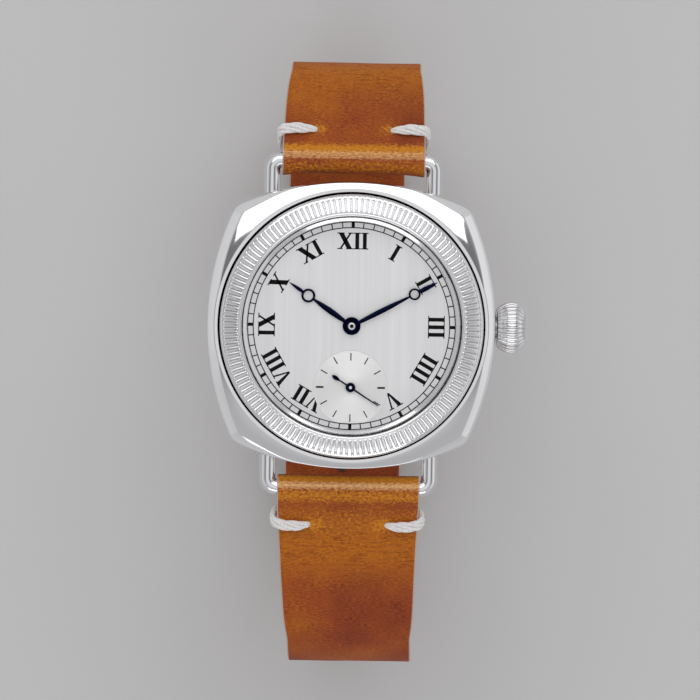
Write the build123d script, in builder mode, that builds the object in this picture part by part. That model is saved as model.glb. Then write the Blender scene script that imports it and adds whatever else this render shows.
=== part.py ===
"""A cushion case wristwatch on a buckled leather strap, standing dial up on its closed loop.

Millimetres. +X points to three o'clock and the crown, +Y to twelve o'clock and +Z out of the dial.
The origin is the centre of the case back's outer face, on the axis of the hour and minute hands.
Levels named ..._z are heights above that face, and the movement is described from the back upwards.
"""

from math import atan2, cos, degrees, hypot, pi, radians, sin, sqrt
import os

from build123d import *

os.makedirs("parts", exist_ok=True)

# Sizes shared by every piece
overrun = 1.0  # how far a cutting shape reaches past what it cuts
running_clearance = 0.05  # radial play of a shaft in its hole
slip_clearance = 0.1  # room between pieces that only pass each other

# Middle case
case_width = 36.0
case_length = 35.8
corner_reach = 14.7  # where two side arcs would meet, from each centre line
corner_rounding = 2.6
girth_z = 3.3  # foot of the upright band round the widest outline
girth_band = 0.1
case_top_z = 7.0
case_top_inset = 1.5  # how far the flank leans in, from girth to top
case_bottom_inset = 1.0
shoulder_z = 5.6  # where the flank starts to lean in faster
case_shoulder_inset = 0.6
flank_edge_rounding = 0.35
case_bore_radius = 13.95
collar_radius = 15.0
collar_height = 0.8

# Case back
back_flange_radius = 15.2
back_flange_height = 1.0
back_skirt_radius = 14.25
back_skirt_inner_radius = 13.2
back_skirt_height = 1.4
back_edge_rounding = 0.4
back_notch_count = 6
back_notch_width = 1.6
back_notch_depth = 0.45
back_notch_reach = 1.0
back_gasket_width = 0.4
back_gasket_height = 0.35

# Bezel, crystal and their gasket
bezel_radius = 16.55
bezel_edge_z = 8.45  # top of the bezel's upright outer wall
bezel_shoulder_radius = 16.3
bezel_shoulder_z = 8.75
bezel_top_radius = 14.05  # outer edge of the flat polished ring
bezel_top_z = 9.7
bezel_bore_radius = 13.75
bezel_bore_chamfer = 0.15
bezel_lip_radius = 13.2  # foot of the sloping inner ring, at the dial
bezel_lip_outer_radius = 13.9
crystal_seat_radius = 13.5
crystal_seat_z = 8.25
collar_play = 0.05
flute_count = 140
flute_width = 0.34
flute_depth = 0.17
flute_start_radius = 14.15
gasket_thickness = 0.15
crystal_rim_z = 9.5
crystal_rim_chamfer = 0.15
crystal_crown_z = 10.55
crystal_wall = 0.75
crystal_hollow_z = 9.25

# Crown, tube and stem
stem_z = 3.6
crown_gap = 0.3  # between the case flank and the crown when pushed home
crown_length = 3.5
crown_inner_radius = 2.465
crown_belly_radius = 3.245
crown_face_radius = 2.3
crown_face_rounding = 0.35
crown_belly_share = 0.47  # where the belly lies along the crown
crown_flute_count = 30
crown_flute_radius = 0.27
tube_radius = 1.25
tube_bore_radius = 0.85
tube_reach = 1.15  # how far the tube stands out of the flank
tube_inner_x = 14.1
crown_gasket_width = 0.35
crown_gasket_height = 0.6
crown_floor = 1.75  # solid metal at the crown's outer end
stem_radius = 0.6
stem_waist_radius = 0.5
stem_square = 0.7
stem_pivot_radius = 0.35
stem_pivot_x = 6.0
stem_square_x = 6.6
stem_square_end_x = 9.5
stem_waist_end_x = 11.9
stem_groove_radius = 0.35
stem_groove_width = 0.52
stem_groove_x = 11.1
stem_thread_depth = 0.9
crown_travel = 1.0

# Wire lugs
lug_wire_diameter = 1.9
lug_outer_width = 21.85
lug_bar_y = 20.5
lug_bar_z = 2.6
lug_bend_radius = 1.05  # of the wire's centre line

# Levels of the movement, from the back upwards
bridge_low_z = 1.7
bridge_high_z = 2.6
plate_low_z = 4.5
plate_high_z = 5.8
dial_low_z = 6.4
dial_high_z = 6.8
movement_radius = 12.6
ring_radius = 13.88
ring_bore_radius = 12.65
ring_ledge_radius = 12.45
pillar_wall = 0.6
keyless_height = 0.2
keyless_lift = 0.05

# Places of the arbors, seen from the dial side
centre_place = (0.0, 0.0)
fourth_place = (0.0, -7.66)
escape_distance = 4.4
escape_bearing = 160.0
balance_place = (-8.5, -2.2)
pallet_distance = 2.6  # from the escape wheel's axis
barrel_distance = 6.3
barrel_bearing = 70.0
crown_wheel_place = (7.2, 0.0)
minute_wheel_distance = 3.0
minute_wheel_bearing = 20.0

# Tooth counts and modules
barrel_teeth, centre_pinion_teeth, barrel_module = 72, 12, 0.15
centre_teeth, third_pinion_teeth, centre_module = 80, 10, 0.12
third_teeth, fourth_pinion_teeth, third_module = 75, 10, 0.11
fourth_teeth, escape_pinion_teeth, fourth_module = 80, 8, 0.1
escape_teeth = 15
cannon_teeth, minute_wheel_teeth, cannon_module = 12, 36, 0.125
minute_pinion_teeth, hour_wheel_teeth, hour_module = 10, 40, 0.12
crown_wheel_teeth, winding_pinion_teeth, crown_module = 30, 18, 0.2
ratchet_teeth = 48
addendum_share = 0.8  # tooth height above the pitch circle, in modules
dedendum_share = 1.35
tooth_root_share = 0.44  # of the tooth pitch
tooth_tip_share = 0.16

# Train levels
centre_wheel_z = 2.75
third_wheel_z = 3.55
escape_wheel_z = 3.6
fourth_wheel_z = 4.1
balance_rim_z = 2.75
wheel_thickness = 0.15
pinion_overhang = 0.08  # how far a pinion reaches past its wheel, each way
arbor_radius = 0.28
pivot_radius = 0.12
pivot_play = 0.02
jewel_radius = 0.55
jewel_height = 0.3
arbor_end_gap = 0.06
spoke_width = 0.28
rim_width = 0.45
hub_radius = 0.6
long_arbor_radius = 0.22  # of the arbors that reach the hands

# Barrel
barrel_low_z = 3.2
barrel_floor = 0.2
barrel_wall = 0.25
barrel_wall_radius = 5.2
barrel_high_z = 4.3
barrel_cover_height = 0.15
barrel_core_radius = 0.9
barrel_arbor_radius = 0.45
barrel_square = 0.62
mainspring_gap = 0.08
mainspring_turns = 11
mainspring_thickness = 0.16
ratchet_low_z = 1.32
ratchet_height = 0.28
ratchet_screw_radius = 0.9
ratchet_screw_height = 0.18
screw_shank_radius = 0.28
crown_wheel_bore_radius = 0.8
click_turn = 25.0  # bearing of the click's tip, past the barrel's own
click_lean = -62.0
click_length = 2.3
click_width = 0.9

# Escapement and balance
escape_radius = 2.2
escape_root_radius = 1.75
escape_tooth_low_share = 0.45  # of the pitch, where a tooth's tip starts
escape_tooth_high_share = 0.55
escape_tooth_heel_share = 0.7
pallet_width = 0.34
pallet_fork_length = 2.52
pallet_height = 0.2
pallet_cock_low_z = 3.15
pallet_cock_high_z = 3.45
pallet_cock_reach = 2.0  # of each foot, from the pallet arbor
pallet_cock_width = 1.0
balance_radius = 3.8
balance_rim = 0.5
balance_rim_height = 0.3
balance_arm_width = 0.5
roller_radius = 0.75
roller_low_z = 3.85
roller_height = 0.15
impulse_pin_radius = 0.12
impulse_pin_distance = 0.6
hairspring_low_z = 2.4
hairspring_height = 0.15
hairspring_inner_radius = 0.62
hairspring_outer_radius = 2.7
hairspring_turns = 10
hairspring_thickness = 0.07
hairspring_stud_radius = 0.15
collet_radius = 0.56
cock_high_z = 2.3
cock_foot_place = (-9.8, 3.6)
cock_foot_radius = 1.6
cock_width = 2.4
balance_well_radius = 4.2

# Screws and clamps
bridge_split_y = -2.35
barrel_screw_places = [(-5.5, 10.0), (9.2, 7.2), (-6.3, 4.4)]
train_screw_places = [(8.2, -6.8), (-6.2, -9.4), (4.9, -10.2)]
screw_boss_radius = 0.9
screw_head_radius = 0.6
screw_head_height = 0.3
screw_depth = 0.7  # of thread in the main plate
small_screw_radius = 0.38
small_shank_radius = 0.2
clamp_bearings = [128.0, -72.0]
clamp_length = 2.1
clamp_width = 1.8
clamp_height = 0.3
clamp_outer_radius = 13.1
clamp_screw_distance = 12.15
clamp_shank_radius = 0.22

# Keyless works
winding_pinion_low_x = 9.75
winding_pinion_high_x = 10.6
winding_pinion_bore_radius = 0.56
clutch_low_x = 7.4
clutch_high_x = 9.45
clutch_radius = 1.25
clutch_groove_x = 8.35
clutch_groove_width = 0.6
clutch_groove_radius = 0.85
clutch_square = 0.78
clutch_ratio = -0.6  # clutch travel for each millimetre of crown travel
lever_pivot = (11.6, 2.9)
lever_width = 0.5
lever_pin_radius = 0.15
yoke_pivot = (8.1, 3.9)
yoke_width = 0.7
yoke_pin_radius = 0.2
keyless_stud_radius = 0.25

# Motion work and hands
motion_recess_z = 5.5
motion_play = 0.05
cannon_wheel_height = 0.25
cannon_radius = 0.45
hour_tube_bore_radius = 0.5
hour_tube_radius = 0.75
hour_wheel_z = 5.97
hour_wheel_height = 0.2
hour_hand_z = 7.15
minute_hand_z = 7.6
seconds_hand_z = 6.95
hand_thickness = 0.15
cannon_top_z = 7.98
arbor_top_z = 7.92
dial_radius = 13.8
dial_hole_radius = 0.95
subdial_radius = 4.63
subdial_depth = 0.12
seconds_hole_radius = 0.35
dial_foot_radius = 0.4
dial_foot_distance = 11.6
dial_foot_bearings = [118.0, -48.0]
dial_foot_length = 1.0
seconds_pipe_radius = 0.18
hour_hub_radius = 1.12
hour_moon_distance = 6.56
hour_moon_radius = 0.87
hour_moon_bore = 0.645
hour_tip = 9.45
hour_belly = 0.35
minute_hub_radius = 0.92
minute_moon_distance = 8.85
minute_moon_radius = 0.745
minute_moon_bore = 0.56
minute_tip = 11.97
minute_belly = 0.3
blade_root = 0.2
blade_neck = 0.1
belly_place_share = 0.42
needle_belly_share = 0.4
needle_belly = 0.33
needle_point = 0.02
seconds_tip = 4.15
seconds_tail_start = 1.55
seconds_tail_end = 2.76
seconds_tail_half = 0.26
seconds_hub_radius = 0.6
hour_hand_bearing = 145.8  # turned from the +X axis, against the clock
minute_hand_bearing = 27.8
seconds_hand_bearing = -32.6

# Strap
strap_lug_width = 17.8
strap_buckle_width = 15.8
strap_narrow_z = -2.5  # where the strap has come down to its buckle width
strap_thickness = 1.7
fold_thickness = 0.85
fold_length = 3.7  # from the lug bar to where both layers lie flat
short_bend = (34.4, -0.6)  # corners of the strap's middle line, as (y, z)
short_bend_radius = 8.0
short_heel = (26.0, -37.0)
heel_radius = 12.0
spring_bar_place = (-2.0, -37.0)
long_bend = (-47.4, -3.2)
long_bend_radius = 10.0
long_heel = (-33.0, -37.7)
ramp_start_y = -9.5
ramp_end_y = -5.0
ramp_radius = 2.5
over_bar_end_y = 0.6
tail_flat_y = 2.9
layer_gap = 0.1
tail_rise = 12.6
tongue_hole_width = 1.9
tongue_hole_low_y = -7.9
tongue_hole_high_y = -2.6
spare_hole_radius = 0.8
spare_hole_pitch = 6.5
spare_hole_count = 3

# Bound stitches
stitch_width = 1.25
stitch_thickness = 0.55
stitch_inset = 4.25  # of its hole from the strap's edge
stitch_hole_width = 0.8
short_stitch_distance = 4.4  # from the lug bar
long_stitch_distance = 4.8

# Buckle and keepers
spring_bar_radius = 0.75
spring_bar_tip_radius = 0.4
spring_bar_tip = 0.6
frame_play = 0.3  # between the strap's edge and the frame
frame_arm = 1.3
frame_arm_radius = 1.15
far_bar_y = -12.0
far_bar_radius = 0.95
tongue_radius = 0.5
tongue_hub_radius = 1.25
tongue_hub_width = 1.3
tongue_bend_y = -5.6
tongue_bend_radius = 2.2
tongue_tip_rounding = 0.4
tongue_tip_y = -13.1
keeper_width = 5.0
fixed_keeper_y = 5.9
loose_keeper_y = 12.0
keeper_play = 0.08
keeper_leather = 0.9

# Values worked out from those above
strap_half = strap_thickness / 2
barrel_place = (
    barrel_distance * cos(radians(barrel_bearing)),
    barrel_distance * sin(radians(barrel_bearing)),
)
centre_reach = centre_module * (centre_teeth + third_pinion_teeth) / 2
third_reach = third_module * (third_teeth + fourth_pinion_teeth) / 2
fourth_reach = hypot(*fourth_place)
third_along = (centre_reach**2 - third_reach**2 + fourth_reach**2) / (2 * fourth_reach)
third_place = (sqrt(centre_reach**2 - third_along**2), -third_along)
escape_place = (
    fourth_place[0] + escape_distance * cos(radians(escape_bearing)),
    fourth_place[1] + escape_distance * sin(radians(escape_bearing)),
)
balance_bearing = degrees(
    atan2(balance_place[1] - escape_place[1], balance_place[0] - escape_place[0])
)
pallet_place = (
    escape_place[0] + pallet_distance * cos(radians(balance_bearing)),
    escape_place[1] + pallet_distance * sin(radians(balance_bearing)),
)
minute_wheel_place = (
    minute_wheel_distance * cos(radians(minute_wheel_bearing)),
    minute_wheel_distance * sin(radians(minute_wheel_bearing)),
)
crown_wheel_radius = crown_module * crown_wheel_teeth / 2
winding_pinion_radius = crown_module * winding_pinion_teeth / 2
ratchet_distance = hypot(
    barrel_place[0] - crown_wheel_place[0], barrel_place[1] - crown_wheel_place[1]
)
ratchet_module = 2 * (ratchet_distance - crown_wheel_radius) / ratchet_teeth
crown_start_x = case_width / 2 + crown_gap
ring_low_z = back_flange_height + back_skirt_height
tail_z = spring_bar_place[1] - strap_thickness - layer_gap
ground_z = tail_z - strap_half - keeper_play - keeper_leather


def at(place, height=0.0, bearing=0.0):
    """A plane parallel to the dial, at a place and height, turned by a bearing."""
    turned = (cos(radians(bearing)), sin(radians(bearing)), 0)
    return Plane(origin=(place[0], place[1], height), x_dir=turned, z_dir=(0, 0, 1))


def drum(place, low, high, radius, mode=Mode.ADD):
    """A round slice that stands on the dial's plane, added to the piece being made."""
    with Locations((place[0], place[1], (low + high) / 2)):
        Cylinder(radius, high - low, mode=mode)


def stem_drum(low_x, high_x, radius, mode=Mode.ADD):
    """A round slice along the stem's axis."""
    with Locations(Location(((low_x + high_x) / 2, 0, stem_z), (0, 90, 0))):
        Cylinder(radius, high_x - low_x, mode=mode)


def between(low_corner, high_corner, mode=Mode.ADD):
    """A box given by two opposite corners."""
    middle = [(low + high) / 2 for low, high in zip(low_corner, high_corner)]
    sides = [high - low for low, high in zip(low_corner, high_corner)]
    with Locations(tuple(middle)):
        Box(*sides, mode=mode)


def gear_face(teeth, module, phase):
    """A toothed face with straight-sided teeth, one of them at the bearing called phase."""
    pitch_radius = module * teeth / 2
    tip_radius = pitch_radius + addendum_share * module
    root_radius = pitch_radius - dedendum_share * module
    pitch = 360 / teeth
    corners = (
        (root_radius, -tooth_root_share / 2),
        (tip_radius, -tooth_tip_share / 2),
        (tip_radius, tooth_tip_share / 2),
        (root_radius, tooth_root_share / 2),
    )
    points = []
    for tooth in range(teeth):
        for radius, share in corners:
            angle = radians(phase + (tooth + share) * pitch)
            points.append((radius * cos(angle), radius * sin(angle)))
    with BuildLine() as edge:
        Polyline(*points, close=True)
    make_face(edge.edges())


def meshing_phase(phase, teeth, other_teeth, bearing):
    """The phase that sets a gear's gap against the tooth of its neighbour at a bearing."""
    lead = (phase - bearing) % (360 / teeth)
    return bearing + 180 + 180 / other_teeth - lead * teeth / other_teeth


def dome_point(edge_radius, edge_z, crown_z):
    """The point half way out on a round dome, as (radius, z)."""
    rise = crown_z - edge_z
    sphere_radius = (edge_radius**2 + rise**2) / (2 * rise)
    radius = edge_radius / 2
    return radius, crown_z - sphere_radius + sqrt(sphere_radius**2 - radius**2)


def bearing_between(start, end):
    """The bearing from one place to another."""
    return degrees(atan2(end[1] - start[1], end[0] - start[0]))


def toothed_disc(place, low, height, teeth, module, phase):
    """A solid toothed disc or pinion, added to the piece being made."""
    with BuildSketch(at(place, low)) as face:
        gear_face(teeth, module, phase)
    extrude(face.sketch, amount=height)


def crossed_wheel(place, low, teeth, module, phase, spokes):
    """A toothed rim on spokes and a hub, added to the piece being made."""
    inner_radius = module * teeth / 2 - dedendum_share * module - rim_width
    with BuildSketch(at(place, low)) as face:
        gear_face(teeth, module, phase)
        Circle(inner_radius, mode=Mode.SUBTRACT)
        Circle(hub_radius)
        with PolarLocations(0, spokes):
            Rectangle(inner_radius + rim_width / 2, spoke_width, align=(Align.MIN, Align.CENTER))
    extrude(face.sketch, amount=wheel_thickness)


def pivoted_arbor(place, low=bridge_high_z, high=plate_low_z):
    """An arbor with a fine pivot at each end, between a bridge and the main plate."""
    drum(place, low + arbor_end_gap, high - arbor_end_gap, arbor_radius)
    drum(place, low - jewel_height, low + arbor_end_gap, pivot_radius)
    drum(place, high - arbor_end_gap, high + jewel_height, pivot_radius)


def spiral_face(inner_radius, outer_radius, turns, thickness):
    """A flat spiral ribbon seen from above."""
    steps_each_turn = 24
    count = turns * steps_each_turn
    inner_edge, outer_edge = [], []
    for step in range(count + 1):
        angle = 2 * pi * step / steps_each_turn
        radius = inner_radius + (outer_radius - inner_radius) * step / count
        inner_edge.append((radius * cos(angle), radius * sin(angle)))
        outer_edge.append(((radius + thickness) * cos(angle), (radius + thickness) * sin(angle)))
    with BuildLine() as edge:
        Polyline(*inner_edge, *reversed(outer_edge), close=True)
    make_face(edge.edges())


# Middle case: a cushion outline with leaning flanks, bored for the movement
with BuildSketch() as case_outline:
    with BuildLine():
        ThreePointArc((corner_reach, -corner_reach), (case_width / 2, 0), (corner_reach, corner_reach))
        ThreePointArc((corner_reach, corner_reach), (0, case_length / 2), (-corner_reach, corner_reach))
        ThreePointArc((-corner_reach, corner_reach), (-case_width / 2, 0), (-corner_reach, -corner_reach))
        ThreePointArc((-corner_reach, -corner_reach), (0, -case_length / 2), (corner_reach, -corner_reach))
    make_face()
    fillet(case_outline.vertices(), radius=corner_rounding)

with BuildPart() as case_middle:
    with BuildSketch(Plane.XY.offset(back_flange_height)):
        add(case_outline.sketch)
    extrude(amount=case_top_z - back_flange_height)
    bottom_face = case_middle.faces().sort_by(Axis.Z)[0]
    lower_flank = girth_z - back_flange_height
    chamfer(bottom_face.edges(), case_bottom_inset, lower_flank, reference=bottom_face)
    top_face = case_middle.faces().sort_by(Axis.Z)[-1]
    upper_flank = case_top_z - girth_z - girth_band
    first_lean = case_shoulder_inset * upper_flank / (shoulder_z - girth_z - girth_band)
    chamfer(top_face.edges(), first_lean, upper_flank, reference=top_face)
    top_face = case_middle.faces().sort_by(Axis.Z)[-1]
    second_lean = case_top_inset - first_lean
    chamfer(top_face.edges(), second_lean, case_top_z - shoulder_z, reference=top_face)
    fillet(case_middle.faces().sort_by(Axis.Z)[-1].edges(), radius=flank_edge_rounding)
    drum((0, 0), case_top_z, case_top_z + collar_height, collar_radius)
    drum((0, 0), 0, case_top_z + collar_height + overrun, case_bore_radius, Mode.SUBTRACT)
    drum((0, 0), 0, ring_low_z, back_skirt_radius + running_clearance, Mode.SUBTRACT)
    gasket_outer = back_skirt_radius + running_clearance + back_gasket_width
    drum((0, 0), 0, back_flange_height + back_gasket_height, gasket_outer, Mode.SUBTRACT)
    stem_drum(case_bore_radius - overrun, case_width / 2 + overrun, tube_radius, Mode.SUBTRACT)
case_middle.part.label = "case_middle"
export_step(case_middle.part, "parts/case_middle.step")

# Case back: a screwed disc with a skirt that holds the movement ring up
with BuildPart() as case_back:
    drum((0, 0), 0, back_flange_height, back_flange_radius)
    fillet(case_back.faces().sort_by(Axis.Z)[0].edges(), radius=back_edge_rounding)
    drum((0, 0), back_flange_height, ring_low_z, back_skirt_radius)
    drum((0, 0), back_flange_height, ring_low_z, back_skirt_inner_radius, Mode.SUBTRACT)
    with PolarLocations(back_flange_radius - back_notch_reach / 2, back_notch_count):
        Box(
            back_notch_reach + overrun,
            back_notch_width,
            2 * back_notch_depth,
            align=(Align.MIN, Align.CENTER, Align.CENTER),
            mode=Mode.SUBTRACT,
        )
case_back.part.label = "case_back"
export_step(case_back.part, "parts/case_back.step")

with BuildPart() as case_back_gasket:
    gasket_inner = back_skirt_radius + running_clearance
    drum((0, 0), back_flange_height, back_flange_height + back_gasket_height, gasket_outer)
    drum((0, 0), 0, back_flange_height + overrun, gasket_inner, Mode.SUBTRACT)
case_back_gasket.part.label = "case_back_gasket"
export_step(case_back_gasket.part, "parts/case_back_gasket.step")

# Bezel: a snapped ring with a sloping inner wall, a crystal seat and a fluted top
slope_run = bezel_shoulder_radius - bezel_top_radius
slope_drop = bezel_top_z - bezel_shoulder_z
slope_angle = degrees(atan2(slope_drop, slope_run))

flute_start_z = bezel_top_z - (flute_start_radius - bezel_top_radius) * slope_drop / slope_run
flute_plane = Plane(
    origin=(flute_start_radius, 0, flute_start_z),
    x_dir=(0, 1, 0),
    z_dir=(cos(radians(slope_angle)), 0, -sin(radians(slope_angle))),
)
with BuildPart() as flute_cutter:
    with BuildSketch(flute_plane):
        with BuildLine():
            Polyline(
                (-flute_width / 2 - overrun * flute_width / flute_depth / 2, overrun),
                (0, -flute_depth),
                (flute_width / 2 + overrun * flute_width / flute_depth / 2, overrun),
                close=True,
            )
        make_face()
    extrude(amount=bezel_radius - flute_start_radius + overrun)

with BuildPart() as bezel:
    with BuildSketch(Plane.XZ):
        with BuildLine():
            Polyline(
                (bezel_lip_radius, dial_high_z),
                (crystal_seat_radius, crystal_seat_z),
                (bezel_bore_radius, crystal_seat_z),
                (bezel_bore_radius, bezel_top_z - bezel_bore_chamfer),
                (bezel_bore_radius + bezel_bore_chamfer, bezel_top_z),
                (bezel_top_radius, bezel_top_z),
                (bezel_shoulder_radius, bezel_shoulder_z),
                (bezel_radius, bezel_edge_z),
                (bezel_radius, case_top_z),
                (collar_radius + collar_play, case_top_z),
                (collar_radius + collar_play, case_top_z + collar_height + collar_play),
                (bezel_lip_outer_radius, case_top_z + collar_height + collar_play),
                (bezel_lip_outer_radius, dial_high_z),
                close=True,
            )
        make_face()
    revolve(axis=Axis.Z)
    with PolarLocations(0, flute_count):
        add(flute_cutter.part, mode=Mode.SUBTRACT)
bezel.part.label = "bezel"
export_step(bezel.part, "parts/bezel.step")

# Crystal and its gasket, seated in the bezel
crystal_radius = bezel_bore_radius - gasket_thickness
crystal_low_z = crystal_seat_z + gasket_thickness
with BuildPart() as crystal_gasket:
    drum((0, 0), crystal_seat_z, crystal_rim_z - crystal_rim_chamfer, bezel_bore_radius)
    drum((0, 0), crystal_low_z, crystal_rim_z, crystal_radius, Mode.SUBTRACT)
    drum((0, 0), 0, crystal_rim_z, crystal_seat_radius, Mode.SUBTRACT)
crystal_gasket.part.label = "crystal_gasket"
export_step(crystal_gasket.part, "parts/crystal_gasket.step")

with BuildPart() as crystal:
    with BuildSketch(Plane.XZ):
        with BuildLine():
            hollow_radius = crystal_radius - crystal_wall
            outer_edge = (crystal_radius - crystal_rim_chamfer, crystal_rim_z + crystal_rim_chamfer)
            outer_middle = dome_point(outer_edge[0], outer_edge[1], crystal_crown_z)
            inner_middle = dome_point(hollow_radius, crystal_low_z, crystal_hollow_z)
            Line((0, crystal_hollow_z), (0, crystal_crown_z))
            ThreePointArc((0, crystal_crown_z), outer_middle, outer_edge)
            Polyline(
                outer_edge,
                (crystal_radius, crystal_rim_z),
                (crystal_radius, crystal_low_z),
                (hollow_radius, crystal_low_z),
            )
            ThreePointArc((hollow_radius, crystal_low_z), inner_middle, (0, crystal_hollow_z))
        make_face()
    revolve(axis=Axis.Z)
crystal.part.label = "crystal"
export_step(crystal.part, "parts/crystal.step")

# Wire lugs: one bent wire at each end, soldered to the flank
lug_half = (lug_outer_width - lug_wire_diameter) / 2
for side, lug_name in ((1, "wire_lug_top"), (-1, "wire_lug_bottom")):
    with BuildPart() as wire_lug:
        with BuildLine() as lug_path:
            FilletPolyline(
                (-lug_half, side * corner_reach, lug_bar_z),
                (-lug_half, side * lug_bar_y, lug_bar_z),
                (lug_half, side * lug_bar_y, lug_bar_z),
                (lug_half, side * corner_reach, lug_bar_z),
                radius=lug_bend_radius,
            )
        with BuildSketch(Plane(origin=lug_path.line @ 0, z_dir=lug_path.line % 0)):
            Circle(lug_wire_diameter / 2)
        sweep()
        add(case_middle.part, mode=Mode.SUBTRACT)
        between(
            (-lug_outer_width / 2, -corner_reach - overrun, 0),
            (lug_outer_width / 2, corner_reach + overrun, case_top_z),
            Mode.SUBTRACT,
        )
    wire_lug.part.label = lug_name
    export_step(wire_lug.part, f"parts/{lug_name}.step")

# Crown: an onion shaped, fluted knob screwed on the stem, sliding over the tube
crown_end_x = crown_start_x + crown_length
crown_belly_x = crown_start_x + crown_length * crown_belly_share
crown_arc = ThreePointArc(
    (crown_start_x, stem_z + crown_inner_radius),
    (crown_belly_x, stem_z + crown_belly_radius),
    (crown_end_x - crown_face_rounding, stem_z + crown_face_radius + crown_face_rounding),
)
crown_hollow_x = crown_end_x - crown_floor
with BuildPart() as crown_flute:
    with Locations(Location((crown_arc.arc_center.X, 0, crown_arc.arc_center.Y), (90, 0, 0))):
        Torus(crown_arc.radius, crown_flute_radius)

with BuildPart() as crown:
    with BuildSketch(Plane.XZ):
        with BuildLine():
            add(crown_arc)
            Polyline(
                crown_arc @ 1,
                (crown_end_x, stem_z + crown_face_radius),
                (crown_end_x, stem_z),
                (crown_start_x, stem_z),
                crown_arc @ 0,
            )
        make_face()
    revolve(axis=Axis((0, 0, stem_z), (1, 0, 0)))
    for turn in range(crown_flute_count):
        flute_angle = 360 * turn / crown_flute_count
        turned = crown_flute.part.rotate(Axis((0, 0, stem_z), (1, 0, 0)), flute_angle)
        add(turned, mode=Mode.SUBTRACT)
    stem_drum(crown_start_x - overrun, crown_hollow_x, tube_radius + running_clearance, Mode.SUBTRACT)
    gasket_x = crown_start_x + crown_gasket_height
    gasket_seat_radius = tube_radius + running_clearance + crown_gasket_width
    stem_drum(gasket_x, gasket_x + crown_gasket_height, gasket_seat_radius, Mode.SUBTRACT)
    stem_drum(crown_hollow_x, crown_hollow_x + stem_thread_depth, stem_radius, Mode.SUBTRACT)
crown.part.label = "crown"
export_step(crown.part, "parts/crown.step")

with BuildPart() as crown_gasket:
    stem_drum(gasket_x, gasket_x + crown_gasket_height, gasket_seat_radius)
    stem_drum(gasket_x, gasket_x + crown_gasket_height, tube_radius + pivot_play, Mode.SUBTRACT)
crown_gasket.part.label = "crown_gasket"
export_step(crown_gasket.part, "parts/crown_gasket.step")

with BuildPart() as crown_tube:
    stem_drum(tube_inner_x, case_width / 2 + tube_reach, tube_radius)
    stem_drum(tube_inner_x, case_width / 2 + tube_reach, tube_bore_radius, Mode.SUBTRACT)
crown_tube.part.label = "crown_tube"
export_step(crown_tube.part, "parts/crown_tube.step")

with BuildPart() as stem:
    stem_drum(stem_pivot_x, stem_square_x, stem_pivot_radius)
    between(
        (stem_square_x, -stem_square / 2, stem_z - stem_square / 2),
        (stem_square_end_x, stem_square / 2, stem_z + stem_square / 2),
    )
    stem_drum(stem_square_end_x, stem_waist_end_x, stem_waist_radius)
    stem_drum(stem_waist_end_x, crown_hollow_x + stem_thread_depth, stem_radius)
    with Locations(Location((stem_groove_x, 0, stem_z), (0, 90, 0))):
        Cylinder(stem_radius, stem_groove_width, mode=Mode.SUBTRACT)
        Cylinder(stem_groove_radius, stem_groove_width + 2 * pivot_play)
stem.part.label = "stem"
export_step(stem.part, "parts/stem.step")

# Winding pinion and sliding pinion, on the stem
with BuildPart() as winding_pinion:
    pinion_length = winding_pinion_high_x - winding_pinion_low_x
    pinion_plane = Plane(origin=(winding_pinion_low_x, 0, stem_z), x_dir=(0, 0, -1), z_dir=(1, 0, 0))
    with BuildSketch(pinion_plane) as ring:
        gear_face(winding_pinion_teeth, crown_module, 180 / winding_pinion_teeth)
    extrude(ring.sketch, amount=pinion_length)
    stem_drum(0, winding_pinion_high_x + overrun, winding_pinion_bore_radius, Mode.SUBTRACT)
winding_pinion.part.label = "winding_pinion"
export_step(winding_pinion.part, "parts/winding_pinion.step")

with BuildPart() as sliding_pinion:
    stem_drum(clutch_low_x, clutch_high_x, clutch_radius)
    groove_low_x = clutch_groove_x - clutch_groove_width / 2
    groove_high_x = clutch_groove_x + clutch_groove_width / 2
    stem_drum(groove_low_x, groove_high_x, clutch_radius + overrun, Mode.SUBTRACT)
    stem_drum(groove_low_x, groove_high_x, clutch_groove_radius)
    between(
        (0, -clutch_square / 2, stem_z - clutch_square / 2),
        (clutch_high_x + overrun, clutch_square / 2, stem_z + clutch_square / 2),
        Mode.SUBTRACT,
    )
sliding_pinion.part.label = "sliding_pinion"
export_step(sliding_pinion.part, "parts/sliding_pinion.step")

# Setting lever and yoke, on the dial side, each with a pin down to the stem
keyless_z = plate_high_z + keyless_lift
lever_reach = lever_pivot[1]
lever_start = (stem_groove_x, 0)
lever_bearing = bearing_between(lever_pivot, lever_start)
lever_length = hypot(lever_pivot[0] - stem_groove_x, lever_reach)
setting_lever_middle = (
    (lever_pivot[0] + lever_start[0]) / 2,
    (lever_pivot[1] + lever_start[1]) / 2,
)
with BuildPart() as setting_lever:
    with BuildSketch(at(setting_lever_middle, keyless_z, lever_bearing)):
        SlotCenterToCenter(lever_length, lever_width)
    extrude(amount=keyless_height)
    drum(lever_start, stem_z + stem_groove_radius + pivot_play, keyless_z, lever_pin_radius)
    drum(lever_pivot, plate_high_z - keyless_height, keyless_z, keyless_stud_radius)
setting_lever.part.label = "setting_lever"
export_step(setting_lever.part, "parts/setting_lever.step")

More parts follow.
